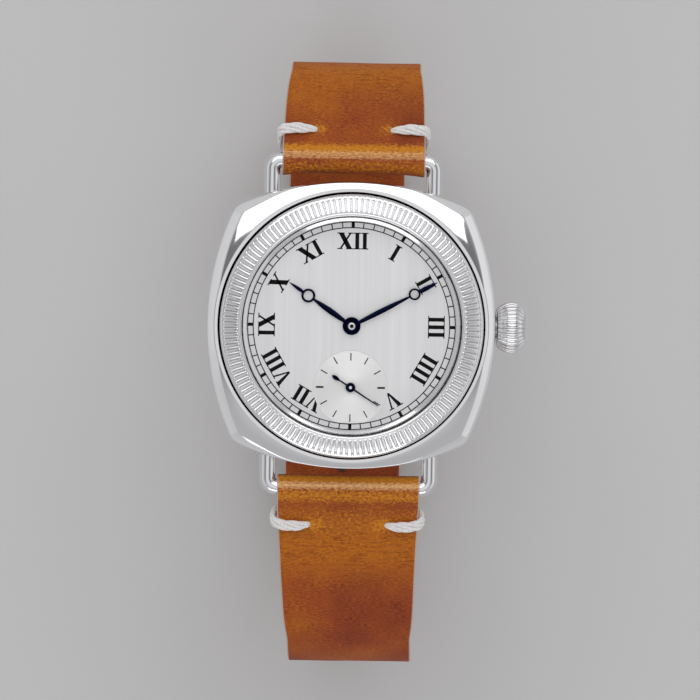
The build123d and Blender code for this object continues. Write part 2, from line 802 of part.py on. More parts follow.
yoke_start = (clutch_groove_x, 0)
yoke_middle = ((yoke_pivot[0] + yoke_start[0]) / 2, (yoke_pivot[1] + yoke_start[1]) / 2)
with BuildPart() as yoke:
    yoke_length = hypot(yoke_pivot[0] - yoke_start[0], yoke_pivot[1] - yoke_start[1])
    with BuildSketch(at(yoke_middle, keyless_z, bearing_between(yoke_pivot, yoke_start))):
        SlotCenterToCenter(yoke_length, yoke_width)
    extrude(amount=keyless_height)
    drum(yoke_start, stem_z + clutch_groove_radius + slip_clearance, keyless_z, yoke_pin_radius)
    drum(yoke_pivot, plate_high_z - keyless_height, keyless_z, keyless_stud_radius)
yoke.part.label = "yoke"
export_step(yoke.part, "parts/yoke.step")

# Movement ring, between the movement and the case, under the dial
with BuildPart() as movement_ring:
    drum((0, 0), ring_low_z, dial_low_z, ring_radius)
    drum((0, 0), ring_low_z, plate_high_z, ring_bore_radius, Mode.SUBTRACT)
    drum((0, 0), plate_high_z, dial_low_z, ring_ledge_radius, Mode.SUBTRACT)
    stem_drum(movement_radius - overrun, ring_radius + overrun, stem_radius + slip_clearance, Mode.SUBTRACT)
movement_ring.part.label = "movement_ring"
export_step(movement_ring.part, "parts/movement_ring.step")

# Main plate: the disc that carries the train below it and the motion work above it
with BuildPart() as keyless_space:
    pinion_space = winding_pinion_radius + crown_module
    stem_drum(winding_pinion_low_x - slip_clearance, winding_pinion_high_x + slip_clearance, pinion_space)
    clutch_space_low_x = clutch_low_x - crown_travel
    stem_drum(clutch_space_low_x, winding_pinion_low_x, clutch_radius + slip_clearance)
    stem_drum(winding_pinion_high_x, movement_radius + overrun, stem_radius + running_clearance)
    stem_drum(stem_pivot_x - slip_clearance, clutch_low_x, stem_pivot_radius + running_clearance)
    lever_swing = crown_travel + lever_pin_radius * 2
    lever_slot_x = stem_groove_x + crown_travel / 2
    with BuildSketch(at((lever_slot_x, 0), stem_z)):
        Rectangle(lever_swing + slip_clearance, lever_pin_radius * 4)
    extrude(amount=plate_high_z - stem_z)
    yoke_swing = -clutch_ratio * crown_travel + yoke_pin_radius * 2
    yoke_slot_x = clutch_groove_x + clutch_ratio * crown_travel / 2
    with BuildSketch(at((yoke_slot_x, 0), stem_z)):
        Rectangle(yoke_swing + slip_clearance, yoke_pin_radius * 4)
    extrude(amount=plate_high_z - stem_z)

plate_jewel_places = [third_place, escape_place, pallet_place, balance_place]
with BuildPart() as main_plate:
    drum((0, 0), plate_low_z, plate_high_z, movement_radius)
    drum(centre_place, motion_recess_z, plate_high_z, minute_wheel_distance * 2 / 3, Mode.SUBTRACT)
    minute_well = cannon_module * minute_wheel_teeth / 2 + cannon_module + slip_clearance
    drum(minute_wheel_place, motion_recess_z, plate_high_z, minute_well, Mode.SUBTRACT)
    drum(centre_place, 0, plate_high_z, long_arbor_radius + running_clearance, Mode.SUBTRACT)
    drum(fourth_place, 0, plate_high_z + overrun, long_arbor_radius + running_clearance, Mode.SUBTRACT)
    for place in plate_jewel_places:
        drum(place, plate_low_z, plate_low_z + jewel_height, jewel_radius, Mode.SUBTRACT)
    barrel_hole = barrel_arbor_radius + running_clearance
    drum(barrel_place, plate_low_z, plate_low_z + screw_depth, barrel_hole, Mode.SUBTRACT)
    for place in barrel_screw_places + train_screw_places + [cock_foot_place]:
        drum(place, plate_low_z, plate_low_z + screw_depth, screw_shank_radius, Mode.SUBTRACT)
    for bearing in dial_foot_bearings:
        foot = (
            dial_foot_distance * cos(radians(bearing)),
            dial_foot_distance * sin(radians(bearing)),
        )
        foot_hole_low_z = dial_low_z - dial_foot_length - slip_clearance
        drum(foot, foot_hole_low_z, plate_high_z, dial_foot_radius, Mode.SUBTRACT)
    for pivot in (lever_pivot, yoke_pivot):
        stud_hole = keyless_stud_radius + pivot_play
        drum(pivot, plate_high_z - keyless_height, plate_high_z, stud_hole, Mode.SUBTRACT)
    add(keyless_space.part, mode=Mode.SUBTRACT)
    pallet_bearing = balance_bearing + 90
    pallet_cock_feet = [
        (
            pallet_place[0] + side * pallet_cock_reach * cos(radians(pallet_bearing)),
            pallet_place[1] + side * pallet_cock_reach * sin(radians(pallet_bearing)),
        )
        for side in (1, -1)
    ]
    for place in pallet_cock_feet:
        drum(place, plate_low_z, plate_low_z + jewel_height, small_shank_radius, Mode.SUBTRACT)
    post_low_z = plate_low_z + jewel_height
    drum(minute_wheel_place, post_low_z, hour_wheel_z + hour_wheel_height, arbor_radius)
main_plate.part.label = "main_plate"
export_step(main_plate.part, "parts/main_plate.step")

cock_middle = (
    (cock_foot_place[0] + balance_place[0]) / 2,
    (cock_foot_place[1] + balance_place[1]) / 2,
)
cock_length = hypot(cock_foot_place[0] - balance_place[0], cock_foot_place[1] - balance_place[1])
cock_bearing = bearing_between(cock_foot_place, balance_place)

# Bridges: each a part of the disc behind the train, with a rim wall up to the main plate
bridge_jewel_places = {
    "barrel_bridge": [centre_place],
    "train_bridge": [third_place, fourth_place, escape_place],
}
bridge_screws_of = {
    "barrel_bridge": barrel_screw_places,
    "train_bridge": train_screw_places,
}
split_gap = slip_clearance
clamp_places = [
    (
        clamp_screw_distance * cos(radians(bearing)),
        clamp_screw_distance * sin(radians(bearing)),
    )
    for bearing in clamp_bearings
]
clamp_bottom_z = ring_low_z - clamp_height
for bridge_name, low_y, high_y in (
    ("barrel_bridge", bridge_split_y, movement_radius),
    ("train_bridge", -movement_radius, bridge_split_y - split_gap),
):
    with BuildPart() as bridge:
        drum((0, 0), bridge_low_z, plate_low_z, movement_radius)
        drum((0, 0), bridge_high_z, plate_low_z, movement_radius - pillar_wall, Mode.SUBTRACT)
        for place in bridge_screws_of[bridge_name]:
            drum(place, bridge_low_z, plate_low_z, screw_boss_radius)
        between(
            (-movement_radius, low_y, bridge_low_z),
            (movement_radius, high_y, plate_low_z),
            Mode.INTERSECT,
        )
        drum(balance_place, 0, plate_low_z, balance_well_radius, Mode.SUBTRACT)
        drum(cock_foot_place, 0, plate_low_z, cock_foot_radius + slip_clearance, Mode.SUBTRACT)
        with BuildSketch(at(cock_middle, 0, cock_bearing)):
            SlotCenterToCenter(cock_length, cock_width + 2 * slip_clearance)
        extrude(amount=bridge_high_z, mode=Mode.SUBTRACT)
        add(keyless_space.part, mode=Mode.SUBTRACT)
        for place in bridge_jewel_places[bridge_name]:
            drum(place, bridge_high_z - jewel_height, bridge_high_z, jewel_radius, Mode.SUBTRACT)
        for place in bridge_screws_of[bridge_name]:
            drum(place, 0, bridge_low_z + screw_head_height, screw_head_radius, Mode.SUBTRACT)
            drum(place, 0, plate_low_z, screw_shank_radius, Mode.SUBTRACT)
        if bridge_name == "barrel_bridge":
            drum(barrel_place, 0, bridge_high_z, barrel_hole, Mode.SUBTRACT)
            drum(crown_wheel_place, bridge_low_z, bridge_high_z, screw_shank_radius, Mode.SUBTRACT)
        for place, bearing in zip(clamp_places, clamp_bearings):
            with BuildSketch(at(place, 0, bearing)):
                Rectangle(clamp_length + overrun, clamp_width + slip_clearance)
            extrude(amount=ring_low_z, mode=Mode.SUBTRACT)
            drum(place, 0, plate_low_z - jewel_height, clamp_shank_radius, Mode.SUBTRACT)
    bridge.part.label = bridge_name
    export_step(bridge.part, f"parts/{bridge_name}.step")

with BuildPart() as balance_cock:
    drum(cock_foot_place, bridge_low_z, plate_low_z, cock_foot_radius)
    with BuildSketch(at(cock_middle, bridge_low_z, cock_bearing)):
        SlotCenterToCenter(cock_length, cock_width)
    extrude(amount=cock_high_z - bridge_low_z)
    drum(balance_place, cock_high_z - jewel_height, cock_high_z, jewel_radius, Mode.SUBTRACT)
    drum(cock_foot_place, 0, bridge_low_z + screw_head_height, screw_head_radius, Mode.SUBTRACT)
    drum(cock_foot_place, 0, plate_low_z, screw_shank_radius, Mode.SUBTRACT)
balance_cock.part.label = "balance_cock"
export_step(balance_cock.part, "parts/balance_cock.step")

with BuildPart() as pallet_cock:
    with BuildSketch(at(pallet_place, pallet_cock_low_z, pallet_bearing)):
        SlotCenterToCenter(2 * pallet_cock_reach, pallet_cock_width)
    extrude(amount=pallet_cock_high_z - pallet_cock_low_z)
    for place in pallet_cock_feet:
        drum(place, pallet_cock_high_z, plate_low_z, pallet_cock_width / 2)
    for place in pallet_cock_feet:
        head_top = pallet_cock_low_z + wheel_thickness
        drum(place, 0, head_top, small_screw_radius, Mode.SUBTRACT)
        drum(place, 0, plate_low_z, small_shank_radius, Mode.SUBTRACT)
    drum(pallet_place, 0, plate_low_z, pivot_radius + pivot_play, Mode.SUBTRACT)
pallet_cock.part.label = "pallet_cock"
export_step(pallet_cock.part, "parts/pallet_cock.step")

# Screws of the bridges and the pallet cock
with BuildPart() as bridge_screws:
    for place in barrel_screw_places + train_screw_places + [cock_foot_place]:
        drum(place, bridge_low_z, bridge_low_z + screw_head_height, screw_head_radius)
        drum(place, bridge_low_z, plate_low_z + screw_depth, screw_shank_radius)
    for place in pallet_cock_feet:
        drum(place, pallet_cock_low_z, pallet_cock_low_z + wheel_thickness, small_screw_radius)
        drum(place, pallet_cock_low_z, plate_low_z + jewel_height, small_shank_radius)
bridge_screws.part.label = "bridge_screws"
export_step(bridge_screws.part, "parts/bridge_screws.step")

# Clamps that hook the movement to its ring, with their screws
with BuildPart() as case_clamps:
    for place, bearing in zip(clamp_places, clamp_bearings):
        clamp_centre_distance = clamp_outer_radius - clamp_length / 2
        clamp_centre = (
            clamp_centre_distance * cos(radians(bearing)),
            clamp_centre_distance * sin(radians(bearing)),
        )
        with BuildSketch(at(clamp_centre, clamp_bottom_z, bearing)):
            RectangleRounded(clamp_length, clamp_width, slip_clearance * 2)
        extrude(amount=clamp_height)
        drum(place, 0, ring_low_z, clamp_shank_radius, Mode.SUBTRACT)
case_clamps.part.label = "case_clamps"
export_step(case_clamps.part, "parts/case_clamps.step")

with BuildPart() as clamp_screws:
    for place in clamp_places:
        drum(place, clamp_bottom_z - screw_head_height, clamp_bottom_z, screw_head_radius)
        drum(place, clamp_bottom_z, plate_low_z - jewel_height, clamp_shank_radius)
clamp_screws.part.label = "clamp_screws"
export_step(clamp_screws.part, "parts/clamp_screws.step")

# Jewels, each a small ring pressed into a bridge, the cock or the main plate
with BuildPart() as train_jewels:
    bridge_jewels = [centre_place, third_place, fourth_place, escape_place]
    jewel_seats = [(place, bridge_high_z - jewel_height) for place in bridge_jewels]
    jewel_seats += [(place, plate_low_z) for place in plate_jewel_places]
    jewel_seats += [(balance_place, cock_high_z - jewel_height)]
    for place, low in jewel_seats:
        drum(place, low, low + jewel_height, jewel_radius)
        drum(place, low, low + jewel_height, pivot_radius + pivot_play, Mode.SUBTRACT)
train_jewels.part.label = "train_jewels"
export_step(train_jewels.part, "parts/train_jewels.step")

# Barrel: a toothed drum with a cover, an arbor and the mainspring
barrel_to_centre = bearing_between(barrel_place, centre_place)
with BuildPart() as barrel_drum:
    toothed_disc(barrel_place, barrel_low_z, barrel_floor, barrel_teeth, barrel_module, 0)
    drum(barrel_place, barrel_low_z, barrel_high_z, barrel_wall_radius - barrel_wall / 2)
    spring_low_z = barrel_low_z + barrel_floor
    spring_space = barrel_wall_radius - barrel_wall * 3 / 2
    drum(barrel_place, spring_low_z, barrel_high_z, spring_space, Mode.SUBTRACT)
    cover_low_z = barrel_high_z - barrel_cover_height
    drum(barrel_place, cover_low_z, barrel_high_z, spring_space + barrel_wall / 2, Mode.SUBTRACT)
    drum(barrel_place, 0, barrel_high_z, barrel_hole, Mode.SUBTRACT)
barrel_drum.part.label = "barrel_drum"
export_step(barrel_drum.part, "parts/barrel_drum.step")

with BuildPart() as barrel_cover:
    drum(barrel_place, cover_low_z, barrel_high_z, spring_space + barrel_wall / 2)
    drum(barrel_place, 0, barrel_high_z, barrel_hole, Mode.SUBTRACT)
barrel_cover.part.label = "barrel_cover"
export_step(barrel_cover.part, "parts/barrel_cover.step")

ratchet_high_z = ratchet_low_z + ratchet_height
with BuildPart() as barrel_arbor:
    drum(barrel_place, ratchet_high_z, plate_low_z + screw_depth - pivot_play, barrel_arbor_radius)
    core_low_z = spring_low_z + mainspring_gap / 2
    core_high_z = cover_low_z - mainspring_gap / 2
    drum(barrel_place, core_low_z, core_high_z, barrel_core_radius)
    with BuildSketch(at(barrel_place, ratchet_low_z)):
        Rectangle(barrel_square, barrel_square)
    extrude(amount=ratchet_height)
    drum(barrel_place, 0, bridge_high_z, screw_shank_radius - pivot_play, Mode.SUBTRACT)
barrel_arbor.part.label = "barrel_arbor"
export_step(barrel_arbor.part, "parts/barrel_arbor.step")

with BuildPart() as mainspring:
    spring_inner = barrel_core_radius + mainspring_gap
    spring_outer = spring_space - mainspring_gap - mainspring_thickness
    with BuildSketch(at(barrel_place, core_low_z)) as ribbon:
        spiral_face(spring_inner, spring_outer, mainspring_turns, mainspring_thickness)
    extrude(ribbon.sketch, amount=core_high_z - core_low_z)
mainspring.part.label = "mainspring"
export_step(mainspring.part, "parts/mainspring.step")

# Ratchet wheel, crown wheel, their screws and the click, behind the barrel bridge
crown_to_ratchet = bearing_between(crown_wheel_place, barrel_place)
ratchet_phase = meshing_phase(0, crown_wheel_teeth, ratchet_teeth, crown_to_ratchet)
with BuildPart() as ratchet_wheel:
    toothed_disc(barrel_place, ratchet_low_z, ratchet_height, ratchet_teeth, ratchet_module, ratchet_phase)
    with BuildSketch(at(barrel_place, ratchet_low_z)):
        Rectangle(barrel_square + pivot_play, barrel_square + pivot_play)
    extrude(amount=ratchet_height, mode=Mode.SUBTRACT)
ratchet_wheel.part.label = "ratchet_wheel"
export_step(ratchet_wheel.part, "parts/ratchet_wheel.step")

with BuildPart() as crown_wheel:
    toothed_disc(crown_wheel_place, ratchet_low_z, ratchet_height, crown_wheel_teeth, crown_module, 0)
    drum(crown_wheel_place, 0, ratchet_high_z, crown_wheel_bore_radius, Mode.SUBTRACT)
crown_wheel.part.label = "crown_wheel"
export_step(crown_wheel.part, "parts/crown_wheel.step")

with BuildPart() as ratchet_screw:
    ratchet_screw_low_z = ratchet_low_z - ratchet_screw_height
    drum(barrel_place, ratchet_screw_low_z, ratchet_low_z, ratchet_screw_radius)
    drum(barrel_place, ratchet_low_z, bridge_high_z, screw_shank_radius - pivot_play)
ratchet_screw.part.label = "ratchet_screw"
export_step(ratchet_screw.part, "parts/ratchet_screw.step")

with BuildPart() as crown_wheel_screw:
    shoulder_low_z = ratchet_low_z - pivot_play
    shoulder_radius = crown_wheel_bore_radius - running_clearance
    drum(crown_wheel_place, ratchet_screw_low_z, shoulder_low_z, crown_wheel_bore_radius * 3 / 2)
    drum(crown_wheel_place, shoulder_low_z, bridge_low_z, shoulder_radius)
    clutch_space_low_z = stem_z - clutch_radius - slip_clearance
    drum(crown_wheel_place, bridge_low_z, clutch_space_low_z, screw_shank_radius)
crown_wheel_screw.part.label = "crown_wheel_screw"
export_step(crown_wheel_screw.part, "parts/crown_wheel_screw.step")

ratchet_radius = ratchet_module * (ratchet_teeth / 2 + addendum_share)
click_bearing = barrel_bearing + click_turn
click_tip = (
    barrel_place[0] + (ratchet_radius + running_clearance) * cos(radians(click_bearing)),
    barrel_place[1] + (ratchet_radius + running_clearance) * sin(radians(click_bearing)),
)
click_pivot = (
    click_tip[0] + click_length * cos(radians(click_bearing + click_lean)),
    click_tip[1] + click_length * sin(radians(click_bearing + click_lean)),
)
with BuildPart() as click:
    with BuildSketch(at(click_pivot, ratchet_low_z, click_bearing + click_lean)) as click_face:
        Circle(click_width / 2)
        with BuildLine() as click_edge:
            Polyline((0, click_width / 2), (-click_length, 0), (0, -click_width / 2), close=True)
        make_face(click_edge.edges())
    extrude(click_face.sketch, amount=ratchet_height)
    drum(click_pivot, ratchet_high_z, bridge_low_z, click_width / 4)
click.part.label = "click"
export_step(click.part, "parts/click.step")

# Going train: centre, third, fourth and escape wheels, each on an arbor with its pinion
centre_pinion_phase = meshing_phase(0, barrel_teeth, centre_pinion_teeth, barrel_to_centre)
with BuildPart() as centre_wheel:
    crossed_wheel(centre_place, centre_wheel_z, centre_teeth, centre_module, 0, 5)
    pinion_low_z = barrel_low_z - pinion_overhang
    toothed_disc(
        centre_place,
        pinion_low_z,
        barrel_floor + 2 * pinion_overhang,
        centre_pinion_teeth,
        barrel_module,
        centre_pinion_phase,
    )
    pivoted_arbor(centre_place)
    drum(centre_place, plate_low_z - arbor_end_gap, arbor_top_z, long_arbor_radius)
centre_wheel.part.label = "centre_wheel"
export_step(centre_wheel.part, "parts/centre_wheel.step")


def train_wheel(place, low, teeth, module, pinion_teeth, pinion_module, driver_z, driver_teeth, bearing):
    """A wheel, its pinion in mesh with the driver, and the arbor that carries both."""
    crossed_wheel(place, low, teeth, module, 0, 4)
    pinion_phase = meshing_phase(0, driver_teeth, pinion_teeth, bearing)
    toothed_disc(
        place,
        driver_z - pinion_overhang,
        wheel_thickness + 2 * pinion_overhang,
        pinion_teeth,
        pinion_module,
        pinion_phase,
    )
    pivoted_arbor(place)


with BuildPart() as third_wheel:
    train_wheel(
        third_place,
        third_wheel_z,
        third_teeth,
        third_module,
        third_pinion_teeth,
        centre_module,
        centre_wheel_z,
        centre_teeth,
        bearing_between(centre_place, third_place),
    )
third_wheel.part.label = "third_wheel"
export_step(third_wheel.part, "parts/third_wheel.step")

with BuildPart() as fourth_wheel:
    train_wheel(
        fourth_place,
        fourth_wheel_z,
        fourth_teeth,
        fourth_module,
        fourth_pinion_teeth,
        third_module,
        third_wheel_z,
        third_teeth,
        bearing_between(third_place, fourth_place),
    )
    drum(fourth_place, plate_low_z - arbor_end_gap, seconds_hand_z, long_arbor_radius)
    drum(fourth_place, seconds_hand_z, seconds_hand_z + hand_thickness, seconds_pipe_radius)
fourth_wheel.part.label = "fourth_wheel"
export_step(fourth_wheel.part, "parts/fourth_wheel.step")

with BuildPart() as escape_wheel:
    with BuildSketch(at(escape_place, escape_wheel_z)) as escape_face:
        escape_points = []
        tooth_pitch = 360 / escape_teeth
        for tooth in range(escape_teeth):
            for radius, share in (
                (escape_root_radius, 0),
                (escape_radius, escape_tooth_low_share),
                (escape_radius, escape_tooth_high_share),
                (escape_root_radius, escape_tooth_heel_share),
            ):
                angle = radians((tooth + share) * tooth_pitch)
                escape_points.append((radius * cos(angle), radius * sin(angle)))
        with BuildLine() as escape_edge:
            Polyline(*escape_points, close=True)
        make_face(escape_edge.edges())
        Circle(escape_root_radius - rim_width * 2 / 3, mode=Mode.SUBTRACT)
        Circle(hub_radius)
        with PolarLocations(0, 4):
            Rectangle(escape_root_radius - rim_width / 2, spoke_width, align=(Align.MIN, Align.CENTER))
    extrude(escape_face.sketch, amount=wheel_thickness)
    toothed_disc(
        escape_place,
        fourth_wheel_z - pinion_overhang,
        wheel_thickness + 2 * pinion_overhang,
        escape_pinion_teeth,
        fourth_module,
        meshing_phase(0, fourth_teeth, escape_pinion_teeth, escape_bearing),
    )
    pivoted_arbor(escape_place)
escape_wheel.part.label = "escape_wheel"
export_step(escape_wheel.part, "parts/escape_wheel.step")

# Pallet fork: two arms beside the escape wheel and a lever towards the balance
stone_spread = 30.0
stone_radius = escape_radius + running_clearance
with BuildPart() as pallet_fork:
    for spread in (-stone_spread, stone_spread):
        stone_bearing = balance_bearing + spread
        stone_place = (
            escape_place[0] + (stone_radius + pallet_width / 2) * cos(radians(stone_bearing)),
            escape_place[1] + (stone_radius + pallet_width / 2) * sin(radians(stone_bearing)),
        )
        arm_centre = (
            (stone_place[0] + pallet_place[0]) / 2,
            (stone_place[1] + pallet_place[1]) / 2,
        )
        arm_span = hypot(stone_place[0] - pallet_place[0], stone_place[1] - pallet_place[1])
        with BuildSketch(at(arm_centre, escape_wheel_z, bearing_between(pallet_place, stone_place))):
            SlotCenterToCenter(arm_span, pallet_width)
        extrude(amount=pallet_height)
    with BuildSketch(at(pallet_place, escape_wheel_z, balance_bearing)):
        Rectangle(pallet_fork_length, pallet_width, align=(Align.MIN, Align.CENTER))
        with Locations((pallet_fork_length, 0)):
            Rectangle(
                pallet_width, impulse_pin_radius * 2, align=(Align.MAX, Align.CENTER), mode=Mode.SUBTRACT
            )
    extrude(amount=pallet_height)
    drum(pallet_place, pallet_cock_high_z + arbor_end_gap, plate_low_z - arbor_end_gap, arbor_radius)
    drum(pallet_place, pallet_cock_low_z, pallet_cock_high_z + arbor_end_gap, pivot_radius)
    drum(pallet_place, plate_low_z - arbor_end_gap, plate_low_z + jewel_height, pivot_radius)
    drum(escape_place, 0, plate_low_z, stone_radius, Mode.SUBTRACT)
pallet_fork.part.label = "pallet_fork"
export_step(pallet_fork.part, "parts/pallet_fork.step")

# Balance wheel with its staff, roller and impulse pin, and the hairspring
balance_rim_top_z = balance_rim_z + balance_rim_height
with BuildPart() as balance_wheel:
    drum(balance_place, balance_rim_z, balance_rim_top_z, balance_radius)
    drum(balance_place, 0, balance_rim_top_z, balance_radius - balance_rim, Mode.SUBTRACT)
    drum(balance_place, balance_rim_z, balance_rim_top_z, hub_radius)
    with BuildSketch(at(balance_place, balance_rim_z + pinion_overhang, balance_bearing)):
        with PolarLocations(0, 3):
            Rectangle(balance_radius - balance_rim / 2, balance_arm_width, align=(Align.MIN, Align.CENTER))
    extrude(amount=wheel_thickness)
    drum(balance_place, cock_high_z + arbor_end_gap, plate_low_z - arbor_end_gap, arbor_radius)
    drum(balance_place, cock_high_z - jewel_height, cock_high_z + arbor_end_gap, pivot_radius)
    drum(balance_place, plate_low_z - arbor_end_gap, plate_low_z + jewel_height, pivot_radius)
    drum(balance_place, hairspring_low_z, hairspring_low_z + hairspring_height, collet_radius)
    drum(balance_place, roller_low_z, roller_low_z + roller_height, roller_radius)
    impulse_place = (
        balance_place[0] - impulse_pin_distance * cos(radians(balance_bearing)),
        balance_place[1] - impulse_pin_distance * sin(radians(balance_bearing)),
    )
    drum(impulse_place, escape_wheel_z, roller_low_z, impulse_pin_radius)
balance_wheel.part.label = "balance_wheel"
export_step(balance_wheel.part, "parts/balance_wheel.step")

with BuildPart() as hairspring:
    spring_bearing = bearing_between(balance_place, cock_foot_place)
    with BuildSketch(at(balance_place, hairspring_low_z, spring_bearing)) as ribbon:
        spiral_face(
            hairspring_inner_radius, hairspring_outer_radius, hairspring_turns, hairspring_thickness
        )
    extrude(ribbon.sketch, amount=hairspring_height)
    stud_distance = hairspring_outer_radius + hairspring_thickness / 2
    stud_place = (
        balance_place[0] + stud_distance * cos(radians(spring_bearing)),
        balance_place[1] + stud_distance * sin(radians(spring_bearing)),
    )
    drum(stud_place, cock_high_z, hairspring_low_z + hairspring_height, hairspring_stud_radius)
hairspring.part.label = "hairspring"
export_step(hairspring.part, "parts/hairspring.step")

# Motion work: cannon pinion, minute wheel and hour wheel, in the recess under the dial
with BuildPart() as cannon_pinion:
    cannon_low_z = motion_recess_z + motion_play
    toothed_disc(centre_place, cannon_low_z, cannon_wheel_height, cannon_teeth, cannon_module, 0)
    drum(centre_place, cannon_low_z, cannon_top_z, cannon_radius)
    drum(centre_place, 0, cannon_top_z, long_arbor_radius + pivot_play, Mode.SUBTRACT)
cannon_pinion.part.label = "cannon_pinion"
export_step(cannon_pinion.part, "parts/cannon_pinion.step")

with BuildPart() as minute_wheel:
    minute_phase = meshing_phase(0, cannon_teeth, minute_wheel_teeth, minute_wheel_bearing)
    toothed_disc(
        minute_wheel_place,
        cannon_low_z,
        cannon_wheel_height,
        minute_wheel_teeth,
        cannon_module,
        minute_phase,
    )
    toothed_disc(
        minute_wheel_place,
        cannon_low_z,
        hour_wheel_z + hour_wheel_height - cannon_low_z,
        minute_pinion_teeth,
        hour_module,
        0,
    )
    drum(minute_wheel_place, 0, dial_low_z, arbor_radius + pivot_play, Mode.SUBTRACT)
minute_wheel.part.label = "minute_wheel"
export_step(minute_wheel.part, "parts/minute_wheel.step")

with BuildPart() as hour_wheel:
    hour_phase = meshing_phase(0, minute_pinion_teeth, hour_wheel_teeth, minute_wheel_bearing + 180)
    toothed_disc(centre_place, hour_wheel_z, hour_wheel_height, hour_wheel_teeth, hour_module, hour_phase)
    drum(centre_place, hour_wheel_z, hour_hand_z + hand_thickness, hour_tube_radius)
    drum(centre_place, 0, minute_hand_z, hour_tube_bore_radius, Mode.SUBTRACT)
hour_wheel.part.label = "hour_wheel"
export_step(hour_wheel.part, "parts/hour_wheel.step")

# Dial: a disc with a sunk small seconds floor and two feet in the main plate
with BuildPart() as dial:
    drum((0, 0), dial_low_z, dial_high_z, dial_radius)
    drum(fourth_place, dial_high_z - subdial_depth, dial_high_z, subdial_radius, Mode.SUBTRACT)
    drum(centre_place, 0, dial_high_z, dial_hole_radius, Mode.SUBTRACT)
    drum(fourth_place, 0, dial_high_z, seconds_hole_radius, Mode.SUBTRACT)
    for bearing in dial_foot_bearings:
        foot = (
            dial_foot_distance * cos(radians(bearing)),
            dial_foot_distance * sin(radians(bearing)),
        )
        drum(foot, dial_low_z - dial_foot_length, dial_low_z, dial_foot_radius - pivot_play)
dial.part.label = "dial"
export_step(dial.part, "parts/dial.step")


def leaf(start, middle, end, start_half, middle_half, end_half):
    """A slender blade along +X whose sides are two shallow arcs."""
    with BuildLine() as blade:
        ThreePointArc((start, start_half), (middle, middle_half), (end, end_half))
        Line((end, end_half), (end, -end_half))
        ThreePointArc((end, -end_half), (middle, -middle_half), (start, -start_half))
        Line((start, -start_half), (start, start_half))
    make_face(blade.edges())


def moon_hand(hub_radius, bore_radius, ring_place, ring_radius, ring_bore, tip, root, belly, neck):
    """A hand with a hub, a leaf blade, a hollow moon and a needle tip, along +X."""
    blade_end = ring_place - ring_bore
    blade_middle = hub_radius + (blade_end - hub_radius) * belly_place_share
    leaf(0, blade_middle, blade_end, root, belly, neck)
    needle_start = ring_place + ring_bore
    needle_middle = needle_start + (tip - needle_start) * needle_belly_share
    leaf(needle_start, needle_middle, tip, neck, needle_belly, needle_point)
    with Locations((ring_place, 0)):
        Circle(ring_radius)
        Circle(ring_bore, mode=Mode.SUBTRACT)
    Circle(hub_radius)
    Circle(bore_radius, mode=Mode.SUBTRACT)


# Hands: hour, minute and small seconds, set at the time they show
with BuildPart() as hour_hand:
    with BuildSketch(at(centre_place, hour_hand_z, hour_hand_bearing)) as face:
        moon_hand(
            hour_hub_radius,
            hour_tube_radius,
            hour_moon_distance,
            hour_moon_radius,
            hour_moon_bore,
            hour_tip,
            blade_root,
            hour_belly,
            blade_neck,
        )
    extrude(face.sketch, amount=hand_thickness)
hour_hand.part.label = "hour_hand"
export_step(hour_hand.part, "parts/hour_hand.step")

with BuildPart() as minute_hand:
    with BuildSketch(at(centre_place, minute_hand_z, minute_hand_bearing)) as face:
        moon_hand(
            minute_hub_radius,
            cannon_radius,
            minute_moon_distance,
            minute_moon_radius,
            minute_moon_bore,
            minute_tip,
            blade_root,
            minute_belly,
            blade_neck,
        )
    extrude(face.sketch, amount=hand_thickness)
minute_hand.part.label = "minute_hand"
export_step(minute_hand.part, "parts/minute_hand.step")

with BuildPart() as seconds_hand:
    with BuildSketch(at(fourth_place, seconds_hand_z, seconds_hand_bearing)) as face:
        with BuildLine() as needle:
            Polyline(
                (-seconds_tail_start, blade_neck / 2),
                (0, blade_neck),
                (seconds_tip, needle_point),
                (seconds_tip, -needle_point),
                (0, -blade_neck),
                (-seconds_tail_start, -blade_neck / 2),
                close=True,
            )
        make_face(needle.edges())
        tail_middle = (seconds_tail_start + seconds_tail_end) / 2
        leaf(
            -seconds_tail_end,
            -tail_middle,
            -seconds_tail_start,
            needle_point,
            seconds_tail_half,
            needle_point,
        )
        Circle(seconds_hub_radius)
        Circle(seconds_pipe_radius, mode=Mode.SUBTRACT)
    extrude(face.sketch, amount=hand_thickness)
seconds_hand.part.label = "seconds_hand"
export_step(seconds_hand.part, "parts/seconds_hand.step")

# Strap: two tapering leather pieces, folded round the lug bars and the buckle's spring bar
lug_bar = (lug_bar_y, lug_bar_z)
lug_fold_bore = lug_wire_diameter / 2 + running_clearance
buckle_fold_bore = spring_bar_radius + running_clearance
over_bar_z = spring_bar_place[1] - buckle_fold_bore - fold_thickness - layer_gap - strap_half


def run_direction(start, end):
    """The unit direction from one point of a strap's line to the next."""
    length = hypot(end[0] - start[0], end[1] - start[1])
    return ((end[0] - start[0]) / length, (end[1] - start[1]) / length)


def fold(bar, towards, bore, length):
    """The thick fold round a bar, narrowing to the strap's own thickness."""
    along = run_direction(bar, towards)
    across = (-along[1], along[0])
    half = bore + fold_thickness
    end = (bar[0] + along[0] * length, bar[1] + along[1] * length)
    with BuildLine() as wedge:
        Polyline(
            (bar[0] + across[0] * half, bar[1] + across[1] * half),
            (bar[0] - across[0] * half, bar[1] - across[1] * half),
            (end[0] - across[0] * strap_half, end[1] - across[1] * strap_half),
            (end[0] + across[0] * strap_half, end[1] + across[1] * strap_half),
            close=True,
        )
    make_face(wedge.edges())
    with Locations(bar):
        Circle(half)
        Circle(bore, mode=Mode.SUBTRACT)


